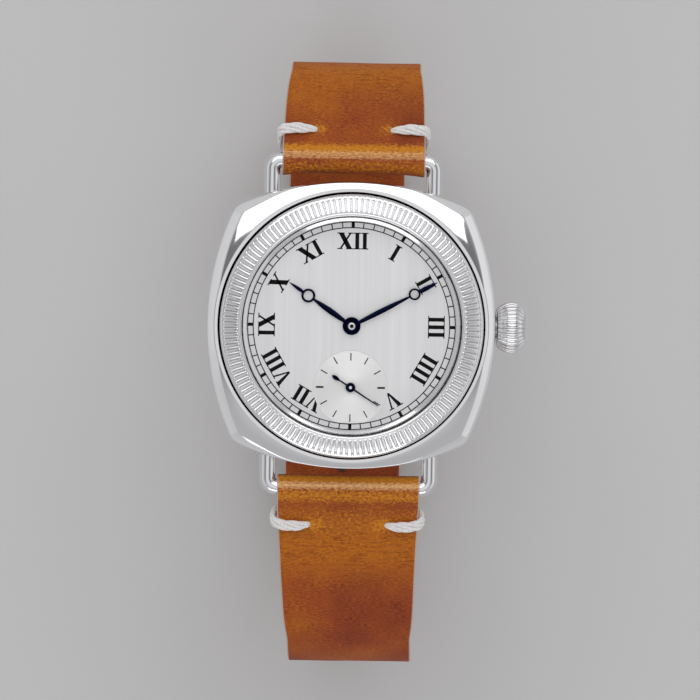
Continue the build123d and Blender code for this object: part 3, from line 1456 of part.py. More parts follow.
with BuildPart() as strap_taper:
    with BuildSketch(Plane.XZ):
        with BuildLine():
            Polyline(
                (-strap_lug_width / 2, case_top_z),
                (-strap_lug_width / 2, lug_bar_z),
                (-strap_buckle_width / 2, strap_narrow_z),
                (-strap_buckle_width / 2, ground_z - overrun),
                (strap_buckle_width / 2, ground_z - overrun),
                (strap_buckle_width / 2, strap_narrow_z),
                (strap_lug_width / 2, lug_bar_z),
                (strap_lug_width / 2, case_top_z),
                close=True,
            )
        make_face()
    extrude(amount=case_length * 2, both=True)


def stitch_plane(bar, towards, distance):
    """The plane across a strap where its binding thread lies."""
    along = run_direction(bar, towards)
    place = (0, bar[0] + along[0] * distance, bar[1] + along[1] * distance)
    return Plane(origin=place, x_dir=(1, 0, 0), z_dir=(0, along[0], along[1]))


long_bar = (-lug_bar_y, lug_bar_z)
short_stitch_plane = stitch_plane(lug_bar, short_bend, short_stitch_distance)
long_stitch_plane = stitch_plane(long_bar, long_bend, long_stitch_distance)
stitch_hole_x = strap_lug_width / 2 - stitch_inset


def stitch_holes(plane):
    """The two holes of the binding threads, through both layers of a strap."""
    with BuildSketch(plane) as holes:
        with Locations((-stitch_hole_x, 0), (stitch_hole_x, 0)):
            Rectangle(stitch_hole_width + slip_clearance, strap_thickness * 2)
    extrude(holes.sketch, amount=stitch_width / 2 + slip_clearance / 2, both=True, mode=Mode.SUBTRACT)


tongue_slot_half = tongue_hub_width / 2 + slip_clearance
with BuildPart() as strap_short:
    with BuildSketch(Plane.YZ):
        with BuildLine() as short_line:
            FilletPolyline(
                lug_bar, short_bend, short_heel, spring_bar_place, radius=[short_bend_radius, heel_radius]
            )
        trace(line_width=strap_thickness)
        fold(lug_bar, short_bend, lug_fold_bore, fold_length)
        fold(spring_bar_place, short_heel, buckle_fold_bore, fold_length)
    extrude(amount=strap_lug_width, both=True)
    add(strap_taper.part, mode=Mode.INTERSECT)
    stitch_holes(short_stitch_plane)
    hub_space = tongue_hub_radius + slip_clearance
    between(
        (-tongue_slot_half, spring_bar_place[0] - hub_space * 2, ground_z),
        (tongue_slot_half, spring_bar_place[0] + hub_space, short_bend[1]),
        Mode.SUBTRACT,
    )
strap_short.part.label = "strap_short"
export_step(strap_short.part, "parts/strap_short.step")

heel_side = run_direction(short_heel, short_bend)
tail_offset = strap_thickness + layer_gap
side_normal = (heel_side[1], -heel_side[0])
side_point = (short_heel[0] + side_normal[0] * tail_offset, short_heel[1] + side_normal[1] * tail_offset)
corner_run = (tail_z - side_point[1]) / heel_side[1]
tail_corner = (side_point[0] + heel_side[0] * corner_run, tail_z)
tail_end = (tail_corner[0] + heel_side[0] * tail_rise, tail_corner[1] + heel_side[1] * tail_rise)
with BuildPart() as strap_long:
    with BuildSketch(Plane.YZ):
        with BuildLine() as long_line:
            FilletPolyline(
                long_bar,
                long_bend,
                long_heel,
                (ramp_start_y, long_heel[1]),
                (ramp_end_y, over_bar_z),
                (over_bar_end_y, over_bar_z),
                (tail_flat_y, tail_z),
                tail_corner,
                tail_end,
                radius=[
                    long_bend_radius,
                    heel_radius,
                    ramp_radius,
                    ramp_radius,
                    ramp_radius,
                    ramp_radius,
                    heel_radius + tail_offset,
                ],
            )
        trace(line_width=strap_thickness)
        fold(long_bar, long_bend, lug_fold_bore, fold_length)
    extrude(amount=strap_lug_width, both=True)
    add(strap_taper.part, mode=Mode.INTERSECT)
    stitch_holes(long_stitch_plane)
    hole_middle_y = (tongue_hole_low_y + tongue_hole_high_y) / 2
    hole_length = tongue_hole_high_y - tongue_hole_low_y
    with BuildSketch(Plane.XY.offset(ground_z - overrun)):
        with Locations((0, hole_middle_y)):
            SlotOverall(hole_length, tongue_hole_width, rotation=90)
        for number in range(spare_hole_count):
            with Locations((0, tongue_hole_low_y - spare_hole_pitch * (number + 1))):
                Circle(spare_hole_radius)
    extrude(amount=long_heel[1] + strap_thickness - ground_z + overrun, mode=Mode.SUBTRACT)
strap_long.part.label = "strap_long"
export_step(strap_long.part, "parts/strap_long.step")

# Binding threads: four flat loops through the holes and round the strap's edges
for thread_name, plane, side in (
    ("stitch_top_left", short_stitch_plane, -1),
    ("stitch_top_right", short_stitch_plane, 1),
    ("stitch_bottom_left", long_stitch_plane, -1),
    ("stitch_bottom_right", long_stitch_plane, 1),
):
    with BuildPart() as thread:
        inner_low = stitch_hole_x + stitch_hole_width / 2
        inner_high = strap_lug_width / 2 + pivot_play
        inner_half = strap_half + pivot_play
        outer_low = stitch_hole_x - stitch_hole_width / 2
        outer_high = inner_high + stitch_thickness
        with BuildSketch(plane):
            with Locations((side * (outer_low + outer_high) / 2, 0)):
                RectangleRounded(
                    outer_high - outer_low, 2 * (inner_half + stitch_thickness), stitch_thickness * 2 / 3
                )
            with Locations((side * (inner_low + inner_high) / 2, 0)):
                Rectangle(inner_high - inner_low, 2 * inner_half, mode=Mode.SUBTRACT)
        extrude(amount=stitch_width / 2, both=True)
    thread.part.label = thread_name
    export_step(thread.part, f"parts/{thread_name}.step")

# Buckle: spring bar, frame and tongue
with BuildPart() as spring_bar:
    bar_half = strap_buckle_width / 2 + slip_clearance
    tip_half = strap_buckle_width / 2 + frame_play + spring_bar_tip
    with Locations(Location((0, *spring_bar_place), (0, 90, 0))):
        Cylinder(spring_bar_radius, 2 * bar_half)
        Cylinder(spring_bar_tip_radius, 2 * tip_half)
spring_bar.part.label = "spring_bar"
export_step(spring_bar.part, "parts/spring_bar.step")

far_bar_place = (far_bar_y, ground_z + far_bar_radius)
frame_inner = strap_buckle_width / 2 + frame_play
with BuildPart() as buckle_frame:
    for side in (1, -1):
        with BuildSketch(Plane.YZ.offset(side * (frame_inner + frame_arm / 2))):
            with Locations(spring_bar_place):
                Circle(frame_arm_radius)
            with Locations(far_bar_place):
                Circle(far_bar_radius)
            make_hull()
        extrude(amount=frame_arm / 2, both=True)
    with Locations(Location((0, *far_bar_place), (0, 90, 0))):
        Cylinder(far_bar_radius, 2 * frame_inner)
    with Locations(Location((0, *spring_bar_place), (0, 90, 0))):
        Cylinder(
            spring_bar_tip_radius + pivot_play, 2 * (tip_half + pivot_play), mode=Mode.SUBTRACT
        )
    notch_half = tongue_radius + slip_clearance
    tongue_tip_z = ground_z + tongue_radius + slip_clearance / 2
    between(
        (-notch_half, far_bar_y - 2 * far_bar_radius, ground_z - overrun),
        (notch_half, far_bar_y + 2 * far_bar_radius, tongue_tip_z + notch_half),
        Mode.SUBTRACT,
    )
buckle_frame.part.label = "buckle_frame"
export_step(buckle_frame.part, "parts/buckle_frame.step")

with BuildPart() as buckle_tongue:
    with BuildLine() as tongue_line:
        FilletPolyline(
            (0, *spring_bar_place),
            (0, tongue_bend_y, tongue_tip_z),
            (0, tongue_tip_y, tongue_tip_z),
            radius=tongue_bend_radius,
        )
    with BuildSketch(Plane(origin=tongue_line.line @ 0, z_dir=tongue_line.line % 0)):
        Circle(tongue_radius)
    sweep()
    fillet(buckle_tongue.edges().sort_by(Axis.Y)[0], radius=tongue_tip_rounding)
    with Locations(Location((0, *spring_bar_place), (0, 90, 0))):
        Cylinder(tongue_hub_radius, tongue_hub_width)
        Cylinder(spring_bar_radius + running_clearance, tongue_hub_width + overrun, mode=Mode.SUBTRACT)
buckle_tongue.part.label = "buckle_tongue"
export_step(buckle_tongue.part, "parts/buckle_tongue.step")

# Keepers: two leather loops round both layers of the strap
keeper_low_z = tail_z - strap_half - keeper_play
keeper_high_z = spring_bar_place[1] + strap_half + keeper_play
keeper_half = strap_buckle_width / 2 + keeper_play
for keeper_name, keeper_y in (("fixed_keeper", fixed_keeper_y), ("loose_keeper", loose_keeper_y)):
    with BuildPart() as keeper:
        with BuildSketch(Plane.XZ.offset(-keeper_y)):
            with Locations((0, (keeper_low_z + keeper_high_z) / 2)):
                RectangleRounded(
                    2 * (keeper_half + keeper_leather),
                    keeper_high_z - keeper_low_z + 2 * keeper_leather,
                    keeper_leather,
                )
                Rectangle(2 * keeper_half, keeper_high_z - keeper_low_z, mode=Mode.SUBTRACT)
        extrude(amount=keeper_width / 2, both=True)
    keeper.part.label = keeper_name
    export_step(keeper.part, f"parts/{keeper_name}.step")
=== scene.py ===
# %% [markdown]
# # A cushion case wristwatch on a tan leather strap
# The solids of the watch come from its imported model, and this lesson dresses them: a polished case, a
# fluted ring, a brushed silver dial with its printed figures, blued hands and a strap of folded leather.
# Every piece is drawn in millimetres, in the model's own frame, and brought to metres when it is done.

# %% The frame that everything is built around
import math

import bmesh
import bpy
from mathutils import Matrix, Vector, noise


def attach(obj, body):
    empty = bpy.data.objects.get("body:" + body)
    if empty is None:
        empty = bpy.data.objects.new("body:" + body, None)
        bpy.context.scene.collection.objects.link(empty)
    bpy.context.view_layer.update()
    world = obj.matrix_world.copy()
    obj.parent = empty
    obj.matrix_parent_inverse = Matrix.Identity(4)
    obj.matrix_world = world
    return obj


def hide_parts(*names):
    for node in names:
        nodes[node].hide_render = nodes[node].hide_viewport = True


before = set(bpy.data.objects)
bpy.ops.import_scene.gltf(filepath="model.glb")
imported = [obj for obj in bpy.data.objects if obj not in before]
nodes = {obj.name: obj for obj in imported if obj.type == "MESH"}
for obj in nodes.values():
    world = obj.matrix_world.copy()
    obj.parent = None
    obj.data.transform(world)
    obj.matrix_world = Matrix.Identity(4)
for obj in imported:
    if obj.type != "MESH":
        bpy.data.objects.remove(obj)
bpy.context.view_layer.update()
print("CAD nodes:", len(nodes))

# %% [markdown]
# ## From a drawing to a piece
# A bmesh is drawn in millimetres. When it is finished it is scaled to metres, given its material, made
# smooth except at its real edges, and set to ride on the body that carries it.

# %% Finishing a piece
MM = 0.001


def finish_piece(bm, name, body, material, stands_for=(), sharp=35):
    """Makes a named piece from a bmesh in millimetres; bends over sharp degrees stay crisp."""
    bmesh.ops.recalc_face_normals(bm, faces=bm.faces)
    bmesh.ops.scale(bm, vec=(MM, MM, MM), verts=bm.verts)
    mesh = bpy.data.meshes.new(name)
    bm.to_mesh(mesh)
    bm.free()
    mesh.materials.append(material)
    mesh.polygons.foreach_set("use_smooth", [True] * len(mesh.polygons))
    mesh.set_sharp_from_angle(angle=math.radians(sharp))
    piece = bpy.data.objects.new(name, mesh)
    bpy.context.scene.collection.objects.link(piece)
    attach(piece, body)
    if stands_for:
        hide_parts(*stands_for)
    print(name, "faces:", len(mesh.polygons))
    return piece


def weld(bm, distance=0.0005):
    """Joins the points that a spin or a fold laid on each other."""
    bmesh.ops.remove_doubles(bm, verts=bm.verts, dist=distance)


def lathe(bm, profile, segments, centre=(0, 0, 0)):
    """Turns a profile of (radius, height) points round an upright axis."""
    x, y, z = centre
    turned = [bm.verts.new((x + radius, y, z + height)) for radius, height in profile]
    edges = [bm.edges.new(pair) for pair in zip(turned, turned[1:])]
    bmesh.ops.spin(
        bm,
        geom=turned + edges,
        cent=centre,
        axis=(0, 0, 1),
        angle=2 * math.pi,
        steps=segments,
        use_merge=True,
        use_duplicate=False,
    )
    weld(bm)


# %% [markdown]
# ## Polished and brushed metal
# Polished steel has next to no colour of its own. It shows the soft panels above it and the pale table
# below, so its material is plain metal with a very low roughness that varies a little, as hand polish
# does. Brushed metal gets fine scratches from a noise that is stretched along the brushing.

# %% Node helpers and the metals
def new_material(name, colour, roughness, metallic=0.0):
    """A Principled material, its uniform values set on the shader itself."""
    material = bpy.data.materials.new(name)
    material.use_nodes = True
    shader = material.node_tree.nodes["Principled BSDF"]
    shader.inputs["Base Color"].default_value = (*colour, 1)
    shader.inputs["Roughness"].default_value = roughness
    shader.inputs["Metallic"].default_value = metallic
    return material, material.node_tree, shader


def add_node(tree, kind, inputs=None, **settings):
    """A node with its settings and its fixed or linked inputs."""
    made = tree.nodes.new(kind)
    for key, value in settings.items():
        setattr(made, key, value)
    for key, value in (inputs or {}).items():
        if isinstance(value, bpy.types.NodeSocket):
            tree.links.new(value, made.inputs[key])
        else:
            made.inputs[key].default_value = value
    return made


def placed_noise(tree, scale, stretch=(1, 1, 1), detail=4.0, source="Object", roughness=0.5):
    """Noise on the piece's own coordinates, stretched along its axes."""
    where = add_node(tree, "ShaderNodeTexCoord").outputs[source]
    mapped = add_node(tree, "ShaderNodeMapping", {"Vector": where, "Scale": stretch})
    inputs = {"Vector": mapped.outputs[0], "Scale": scale, "Detail": detail, "Roughness": roughness}
    return add_node(tree, "ShaderNodeTexNoise", inputs)


def ramp(tree, factor, stops):
    """Colours along a factor."""
    made = add_node(tree, "ShaderNodeValToRGB", {"Fac": factor})
    while len(made.color_ramp.elements) < len(stops):
        made.color_ramp.elements.new(0.5)
    for element, (place, colour) in zip(made.color_ramp.elements, stops):
        element.position = place
        element.color = (*colour, 1)
    return made


def spread(tree, factor, low, high):
    """A factor between 0 and 1 brought to a range."""
    inputs = {"Value": factor, "To Min": low, "To Max": high}
    return add_node(tree, "ShaderNodeMapRange", inputs).outputs[0]


def bump(tree, shader, height, distance, strength=1.0):
    """Relief on a shader from a height, its distance in metres."""
    inputs = {"Height": height, "Distance": distance, "Strength": strength}
    made = add_node(tree, "ShaderNodeBump", inputs)
    tree.links.new(made.outputs[0], shader.inputs["Normal"])


def metal(name, colour, roughness, wear=0.03, grain=900.0, stretch=(1, 1, 1), relief=0.0):
    """A metal whose roughness varies, with fine scratches where it is brushed."""
    material, tree, shader = new_material(name, colour, roughness, 1.0)
    scratches = placed_noise(tree, grain, stretch).outputs[0]
    tree.links.new(spread(tree, scratches, roughness, roughness + wear), shader.inputs["Roughness"])
    if relief:
        bump(tree, shader, scratches, relief)
    return material


mirror_steel = metal("mirror_steel", (0.80, 0.80, 0.81), 0.045)
fluted_steel = metal("fluted_steel", (0.80, 0.80, 0.81), 0.09, 0.05)
metal("satin_steel", (0.60, 0.60, 0.61), 0.32, 0.12, 2500, (1, 0.05, 1), 0.00001)
metal("buckle_steel", (0.72, 0.72, 0.73), 0.12, 0.08)
metal("tool_steel", (0.56, 0.57, 0.60), 0.22, 0.1, 3000)
metal("plate_nickel", (0.70, 0.67, 0.60), 0.28, 0.12, 1500, (1, 0.2, 1), 0.000008)
metal("wheel_brass", (0.83, 0.62, 0.27), 0.24, 0.1, 2500)
blued_steel = metal("blued_steel", (0.003, 0.004, 0.018), 0.12, 0.08)
_, _, ruby_shader = new_material("ruby", (0.55, 0.02, 0.10), 0.08)
ruby_shader.inputs["Transmission Weight"].default_value = 0.4
_, rubber_tree, rubber_shader = new_material("seal_rubber", (0.012, 0.012, 0.013), 0.55)
bump(rubber_tree, rubber_shader, placed_noise(rubber_tree, 4000).outputs[0], 0.00001)
print("metals:", [m.name for m in bpy.data.materials if m.use_nodes][:12])

# %% [markdown]
# ## The cushion case
# The case's outline is four shallow arcs whose corners are rounded. A circle of points is pushed out to
# that outline, and its edge is then extruded level by level, each level a little further in. Above the
# steep flank lie three polished surfaces with crisp lines between them: a sloping band that is wide along
# the sides, a facet that fills the corners, and a nearly flat ring round the bezel. A narrow groove in that
# ring shows as the dark line round the bezel, and the bore closes the shell inside.

# %% The outline, and the case raised on it
CASE_HALF = (18.06, 17.97)
CORNER_REACH = 14.74
CORNER_ROUNDING = 2.6


def side_radius(half):
    """The radius of a side's arc, from its rise over the corner."""
    rise = half - CORNER_REACH
    return (CORNER_REACH**2 + rise**2) / (2 * rise)


def far_crossing(centre, radius, bearing):
    """How far from the origin a line at a bearing leaves a circle."""
    along = math.cos(bearing) * centre[0] + math.sin(bearing) * centre[1]
    return along + math.sqrt(along**2 - centre[0] ** 2 - centre[1] ** 2 + radius**2)


SIDE_RADII = [side_radius(half) for half in CASE_HALF]
SIDE_CENTRES = [SIDE_RADII[0] - CASE_HALF[0], SIDE_RADII[1] - CASE_HALF[1]]


def corner_centre():
    """The centre of the upper right corner's rounding, where it touches both sides."""
    x = y = CORNER_REACH - CORNER_ROUNDING / 2
    for _ in range(60):
        x = math.sqrt((SIDE_RADII[0] - CORNER_ROUNDING) ** 2 - y**2) - SIDE_CENTRES[0]
        y = math.sqrt((SIDE_RADII[1] - CORNER_ROUNDING) ** 2 - x**2) - SIDE_CENTRES[1]
    return x, y


CORNER = corner_centre()


def case_reach(bearing, inset):
    """The distance of the case's outline from the centre, at a bearing, drawn in by an inset."""
    turned = math.atan2(abs(math.sin(bearing)), abs(math.cos(bearing)))
    side = far_crossing((-SIDE_CENTRES[0], 0), SIDE_RADII[0] - inset, turned)
    end = far_crossing((0, -SIDE_CENTRES[1]), SIDE_RADII[1] - inset, turned)
    low = math.atan2(CORNER[1], CORNER[0] + SIDE_CENTRES[0])
    high = math.atan2(CORNER[1] + SIDE_CENTRES[1], CORNER[0])
    rounding = CORNER_ROUNDING - inset
    low_touch = math.atan2(CORNER[1] + rounding * math.sin(low), CORNER[0] + rounding * math.cos(low))
    high_touch = math.atan2(CORNER[1] + rounding * math.sin(high), CORNER[0] + rounding * math.cos(high))
    if low_touch < turned < high_touch:
        return far_crossing(CORNER, rounding, turned)
    return min(side, end)


CASE_POINTS = 480
CASE_LEVELS = [
    # inset, height
    (1.30, 1.00), (1.06, 1.06), (0.92, 1.20), (0.60, 1.75),
    (0.28, 2.45), (0.07, 3.10), (0.0, 3.45), (0.01, 4.0),
]
FLANK_SHARES = [(0.03, 0.35), (0.07, 0.65), (0.12, 0.85), (0.20, 1.0)]
BAND_NARROW, BAND_WIDE = 0.26, 1.3
BAND_STARTS, BAND_ENDS = 0.36, 0.74
RING_REACH = 17.03
RING_TOP = 6.95
GROOVE = [
    (16.98, 6.952), (16.66, 6.96), (16.63, 6.93), (16.53, 6.2), (16.45, 5.7), (16.37, 6.2), (16.27, 6.96),
]
SEAT = (15.4, 6.98)
BORE_RADIUS = 13.97
BACK_RADIUS = 15.25
BASE_Z = 1.0
FACET_SLOPES = (0.24, 0.35)
BAND_SLOPES = (0.56, 0.86)
FACET_SHARES = [0.0, 0.06, 0.35, 0.65, 0.94, 1.0]
BAND_SHARES = [0.05, 0.35, 0.65, 0.95]


def crease_reach(bearing):
    """How far out the crease between band and facet lies."""
    sideways = (abs(math.cos(bearing)) - BAND_STARTS) / (BAND_ENDS - BAND_STARTS)
    share = min(1.0, max(0.0, sideways))
    inset = BAND_NARROW + (BAND_WIDE - BAND_NARROW) * share * share * (3 - 2 * share)
    return max(RING_REACH + 0.05, case_reach(bearing, inset))


def fallen(height, width, share, slopes):
    """The height reached down a surface that grows steeper on its way out."""
    low, high = slopes
    return height - width * share * (low + (high - low) * share / 2)


def facet_place(bearing, share):
    """A point of the facet: the flat ring's edge is 0 and the crease is 1."""
    width = crease_reach(bearing) - RING_REACH
    return RING_REACH + width * share, fallen(RING_TOP, width, share, FACET_SLOPES)


def band_place(bearing, share):
    """A point of the band: the crease is 0 and the flank's top is 1."""
    crease, height = facet_place(bearing, 1.0)
    width = case_reach(bearing, FLANK_SHARES[-1][0]) - crease
    return crease + width * share, fallen(height, width, share, BAND_SLOPES)


def flank_place(bearing, inset, share):
    """A point of the flank's upper part, up to the band."""
    base = CASE_LEVELS[-1][1]
    return case_reach(bearing, inset), base + (band_place(bearing, 1.0)[1] - base) * share


def raise_level(bm, edges, place):
    """Extrudes the open edge and moves its points to the places that a rule gives for their bearing."""
    made = bmesh.ops.extrude_edge_only(bm, edges=edges)
    new_edges = [item for item in made["geom"] if isinstance(item, bmesh.types.BMEdge)]
    for vert in {v for edge in new_edges for v in edge.verts}:
        bearing = math.atan2(vert.co.y, vert.co.x)
        radius, height = place(bearing)
        vert.co = (radius * math.cos(bearing), radius * math.sin(bearing), height)
    return new_edges


case = bmesh.new()
bmesh.ops.create_circle(case, segments=CASE_POINTS, radius=BACK_RADIUS)
bmesh.ops.translate(case, vec=(0, 0, BASE_Z), verts=case.verts)
edge = list(case.edges)
for inset, height in CASE_LEVELS:
    edge = raise_level(case, edge, lambda b, i=inset, z=height: (case_reach(b, i), z))
for inset, share in FLANK_SHARES:
    edge = raise_level(case, edge, lambda b, i=inset, t=share: flank_place(b, i, t))
for share in reversed(BAND_SHARES):
    edge = raise_level(case, edge, lambda b, t=share: band_place(b, t))
for share in reversed(FACET_SHARES):
    edge = raise_level(case, edge, lambda b, t=share: facet_place(b, t))
inner_wall = [SEAT, (BORE_RADIUS, SEAT[1]), (BORE_RADIUS, BASE_Z), (BACK_RADIUS, BASE_Z)]
for radius, height in GROOVE + inner_wall:
    edge = raise_level(case, edge, lambda b, r=radius, z=height: (r, z))
weld(case)
reaches = [round(crease_reach(math.radians(bearing)), 2) for bearing in (0, 45, 90)]
print("the crease's reach at 3, at the corner and at 12:", reaches)
finish_piece(case, "case_shell", "watch_head", mirror_steel, ["case_middle"], 20)

# %% [markdown]
# ## The fluted bezel
# The bezel carries 140 slim ribs, each rounded like a half round moulding with a dark V between it and the
# next. One rib's slice of the whole ring is drawn as a small grid and bent to its profile, and a spin
# with duplicates sets the slices side by side. The slope inside the crystal is part of the same slice.

# %% One slice of the bezel, spun round
RIB_COUNT = 140
RIB_STEPS = 8
RIB_DEPTH = 0.34
RIB_FULLNESS = 2.9
BEZEL_PROFILE = [
    # radius, height, share of the rib's full depth
    (13.03, 6.84, 0), (13.04, 6.865, 0), (13.06, 6.88, 0), (13.08, 6.892, 0), (13.40, 7.077, 0),
    (13.43, 7.094, 0), (13.46, 7.13, 0), (13.50, 7.25, 0), (13.53, 8.2, 0), (13.56, 8.26, 0),
    (13.74, 8.26, 0), (13.74, 9.46, 0), (13.62, 9.47, 0), (13.63, 9.56, 0), (13.69, 9.62, 0),
    (13.78, 9.66, 0), (13.89, 9.67, 0), (14.00, 9.65, 0), (14.05, 9.58, 0), (14.08, 9.57, 0.1),
    (14.13, 9.61, 0.45), (14.22, 9.60, 0.8), (14.4, 9.54, 1), (15.0, 9.33, 1), (15.5, 9.12, 1),
    (15.64, 9.06, 1), (15.76, 9.00, 1), (15.83, 8.96, 0.7), (15.88, 8.93, 0.25), (15.93, 8.91, 0),
    (16.12, 8.82, 0), (16.24, 8.73, 0), (16.31, 8.60, 0), (16.34, 8.35, 0), (16.32, 7.2, 0),
    (16.28, 7.06, 0), (16.1, 7.0, 0), (13.7, 7.0, 0), (13.5, 6.84, 0), (13.03, 6.84, 0),
]


def rib_round(across):
    """How far a rib's surface lies under its crest, as a share, across from -1 to 1."""
    return 1 - math.sqrt(max(0.0, 1 - 0.98 * abs(across) ** RIB_FULLNESS))


def spun_slice(profile, steps, count, place, centre, axis):
    """A grid bent to one slice of a ring and spun round to make the whole."""
    bm = bmesh.new()
    bmesh.ops.create_grid(bm, x_segments=steps, y_segments=len(profile) - 1, size=1)
    for vert in bm.verts:
        row = profile[round((vert.co.y + 1) / 2 * (len(profile) - 1))]
        vert.co = place(row, vert.co.x)
    bmesh.ops.spin(
        bm,
        geom=bm.verts[:] + bm.edges[:] + bm.faces[:],
        cent=centre,
        axis=axis,
        angle=2 * math.pi,
        steps=count,
        use_duplicate=True,
    )
    weld(bm, 0.002)
    return bm


def bezel_place(row, across):
    """A point of one bezel slice."""
    radius, height, share = row
    bearing = across * math.pi / RIB_COUNT
    drop = RIB_DEPTH * rib_round(across) * share
    return radius * math.cos(bearing), radius * math.sin(bearing), height - drop


bezel = spun_slice(BEZEL_PROFILE, RIB_STEPS, RIB_COUNT, bezel_place, (0, 0, 0), (0, 0, 1))
finish_piece(bezel, "fluted_bezel", "watch_head", fluted_steel, ["bezel"], 50)

# %% [markdown]
# ## The onion crown
# The crown is made the same way, its slice spun round the stem's axis: thirty full ribs that swell to the
# belly and run in again towards a flat, polished end.

# %% One slice of the crown, spun round the stem
CROWN_RIBS = 30
CROWN_RIB_DEPTH = 0.30
STEM_Z = 3.6
CROWN_PROFILE = [
    # place along the stem, radius, share of the rib's full depth
    (18.7, 0.0, 0), (18.7, 1.28, 0), (18.28, 1.32, 0), (18.20, 1.4, 0), (18.18, 2.0, 0), (18.21, 2.3, 0.4),
    (18.31, 2.50, 0.8), (18.55, 2.66, 1), (18.95, 2.88, 1), (19.3, 3.07, 1), (19.65, 3.19, 1),
    (20.0, 3.24, 1), (20.35, 3.21, 1), (20.7, 3.11, 1),
    (21.05, 2.93, 1), (21.35, 2.71, 1), (21.55, 2.50, 0.9), (21.68, 2.30, 0.6), (21.76, 2.05, 0.25),
    (21.79, 1.8, 0), (21.8, 1.2, 0), (21.8, 0.6, 0), (21.8, 0.0, 0),
]


def crown_place(row, across):
    """A point of one crown slice."""
    x, radius, share = row
    bearing = across * math.pi / CROWN_RIBS
    reach = radius - CROWN_RIB_DEPTH * rib_round(across) * share
    return x, reach * math.cos(bearing), STEM_Z + reach * math.sin(bearing)


crown = spun_slice(CROWN_PROFILE, RIB_STEPS, CROWN_RIBS, crown_place, (0, 0, STEM_Z), (1, 0, 0))
finish_piece(crown, "ribbed_crown", "crown_set", fluted_steel, ["crown"], 50)

# %% [markdown]
# ## The wire lugs
# Each lug is one steel wire bent to a U. A curve with a round bevel follows the bend, and is made a mesh so
# that it finishes like the other pieces.

# %% Wires along a rounded path
def rounded_path(corners, radii, step=0.25):
    """Points along straight runs whose corners are rounded."""
    points = [Vector(corners[0])]
    for before, corner, after, radius in zip(corners, corners[1:], corners[2:], radii):
        corner = Vector(corner)
        back = (Vector(before) - corner).normalized()
        onward = (Vector(after) - corner).normalized()
        half_turn = back.angle(onward) / 2
        trim = radius / math.tan(half_turn)
        centre = corner + (back + onward).normalized() * radius / math.sin(half_turn)
        start, end = corner + back * trim - centre, corner + onward * trim - centre
        sweep = math.pi - 2 * half_turn
        count = max(2, round(radius * sweep / step))
        for number in range(count + 1):
            share = number / count
            arm = start * math.sin((1 - share) * sweep) + end * math.sin(share * sweep)
            points.append(centre + arm / math.sin(sweep))
    points.append(Vector(corners[-1]))
    return points


def new_curve(points, kind):
    """A curve through points, and its spline."""
    curve = bpy.data.curves.new("line", "CURVE")
    curve.dimensions = "3D"
    spline = curve.splines.new(kind)
    spline.points.add(len(points) - 1)
    for target, point in zip(spline.points, points):
        target.co = (*point, 1)
    return curve, spline


def curve_mesh(curve):
    """The mesh that a curve draws; the curve itself is dropped."""
    holder = bpy.data.objects.new("line", curve)
    bpy.context.scene.collection.objects.link(holder)
    mesh = bpy.data.meshes.new_from_object(holder)
    bpy.data.objects.remove(holder)
    bpy.data.curves.remove(curve)
    return mesh


def tube(bm, points, radius, resolution, thin=None):
    """Adds a round wire along points, thinned by a rule from end to end."""
    curve, spline = new_curve(points, "POLY")
    curve.bevel_depth = radius
    curve.bevel_resolution = resolution
    curve.use_fill_caps = True
    for number, target in enumerate(spline.points):
        target.radius = thin(number / (len(points) - 1)) if thin else 1.0
    mesh = curve_mesh(curve)
    bm.from_mesh(mesh)
    bpy.data.meshes.remove(mesh)


WIRE_RADIUS = 1.0
WIRE_BEND = 1.15
LUG_HALF = 10.15
LUG_ROOT_Y, LUG_BAR_Y, LUG_Z = 16.4, 20.5, 2.6
lug_outline = [(-LUG_HALF, LUG_ROOT_Y), (-LUG_HALF, LUG_BAR_Y), (LUG_HALF, LUG_BAR_Y), (LUG_HALF, LUG_ROOT_Y)]
for side, word in ((1, "top"), (-1, "bottom")):
    corners = [(x, side * y, LUG_Z) for x, y in lug_outline]
    wire = bmesh.new()
    tube(wire, rounded_path(corners, [WIRE_BEND, WIRE_BEND], 0.1), WIRE_RADIUS, 12)
    finish_piece(wire, f"lug_wire_{word}", "watch_head", mirror_steel, [f"wire_lug_{word}"])

# %% [markdown]
# ## The crystal
# The crystal is a low dome of clear glass. For a plain window it is enough to let light straight through
# and to add the mirror that any glass surface shows, weak from the front and strong at the rim.

# %% A thin glass dome
glass = bpy.data.materials.new("clear_crystal")
glass.use_nodes = True
glass_tree = glass.node_tree
glass_tree.nodes.remove(glass_tree.nodes["Principled BSDF"])
clear = add_node(glass_tree, "ShaderNodeBsdfTransparent")
mirror = add_node(glass_tree, "ShaderNodeBsdfGlossy", {"Roughness": 0.0})
facing = add_node(glass_tree, "ShaderNodeLayerWeight", {"Blend": 0.04})
glass_parts = {0: facing.outputs["Facing"], 1: clear.outputs[0], 2: mirror.outputs[0]}
blend_glass = add_node(glass_tree, "ShaderNodeMixShader", glass_parts)
glass_tree.links.new(blend_glass.outputs[0], glass_tree.nodes["Material Output"].inputs["Surface"])

DOME_RADIUS, DOME_FOOT, DOME_RISE = 13.6, 9.62, 10.55 - 9.62
dome_angles = [math.pi / 2 * step / 16 for step in range(1, 16)]
dome_rows = [(DOME_RADIUS * math.cos(turn), DOME_FOOT + DOME_RISE * math.sin(turn)) for turn in dome_angles]
crystal = bmesh.new()
lathe(crystal, [(DOME_RADIUS, 8.42), (DOME_RADIUS, 9.45)] + dome_rows + [(0, DOME_FOOT + DOME_RISE)], 192)
finish_piece(crystal, "crystal_dome", "watch_head", glass, ["crystal"])

# %% [markdown]
# ## The dial
# The dial is a silvered plate brushed from twelve to six. The brushing is a noise drawn out eightyfold
# along Y. The small seconds dial is sunk, and turned rather than brushed: its fine rings throw a bright
# sheen up and down. It gets a thin floor of its own so that the rings can be centred on it.

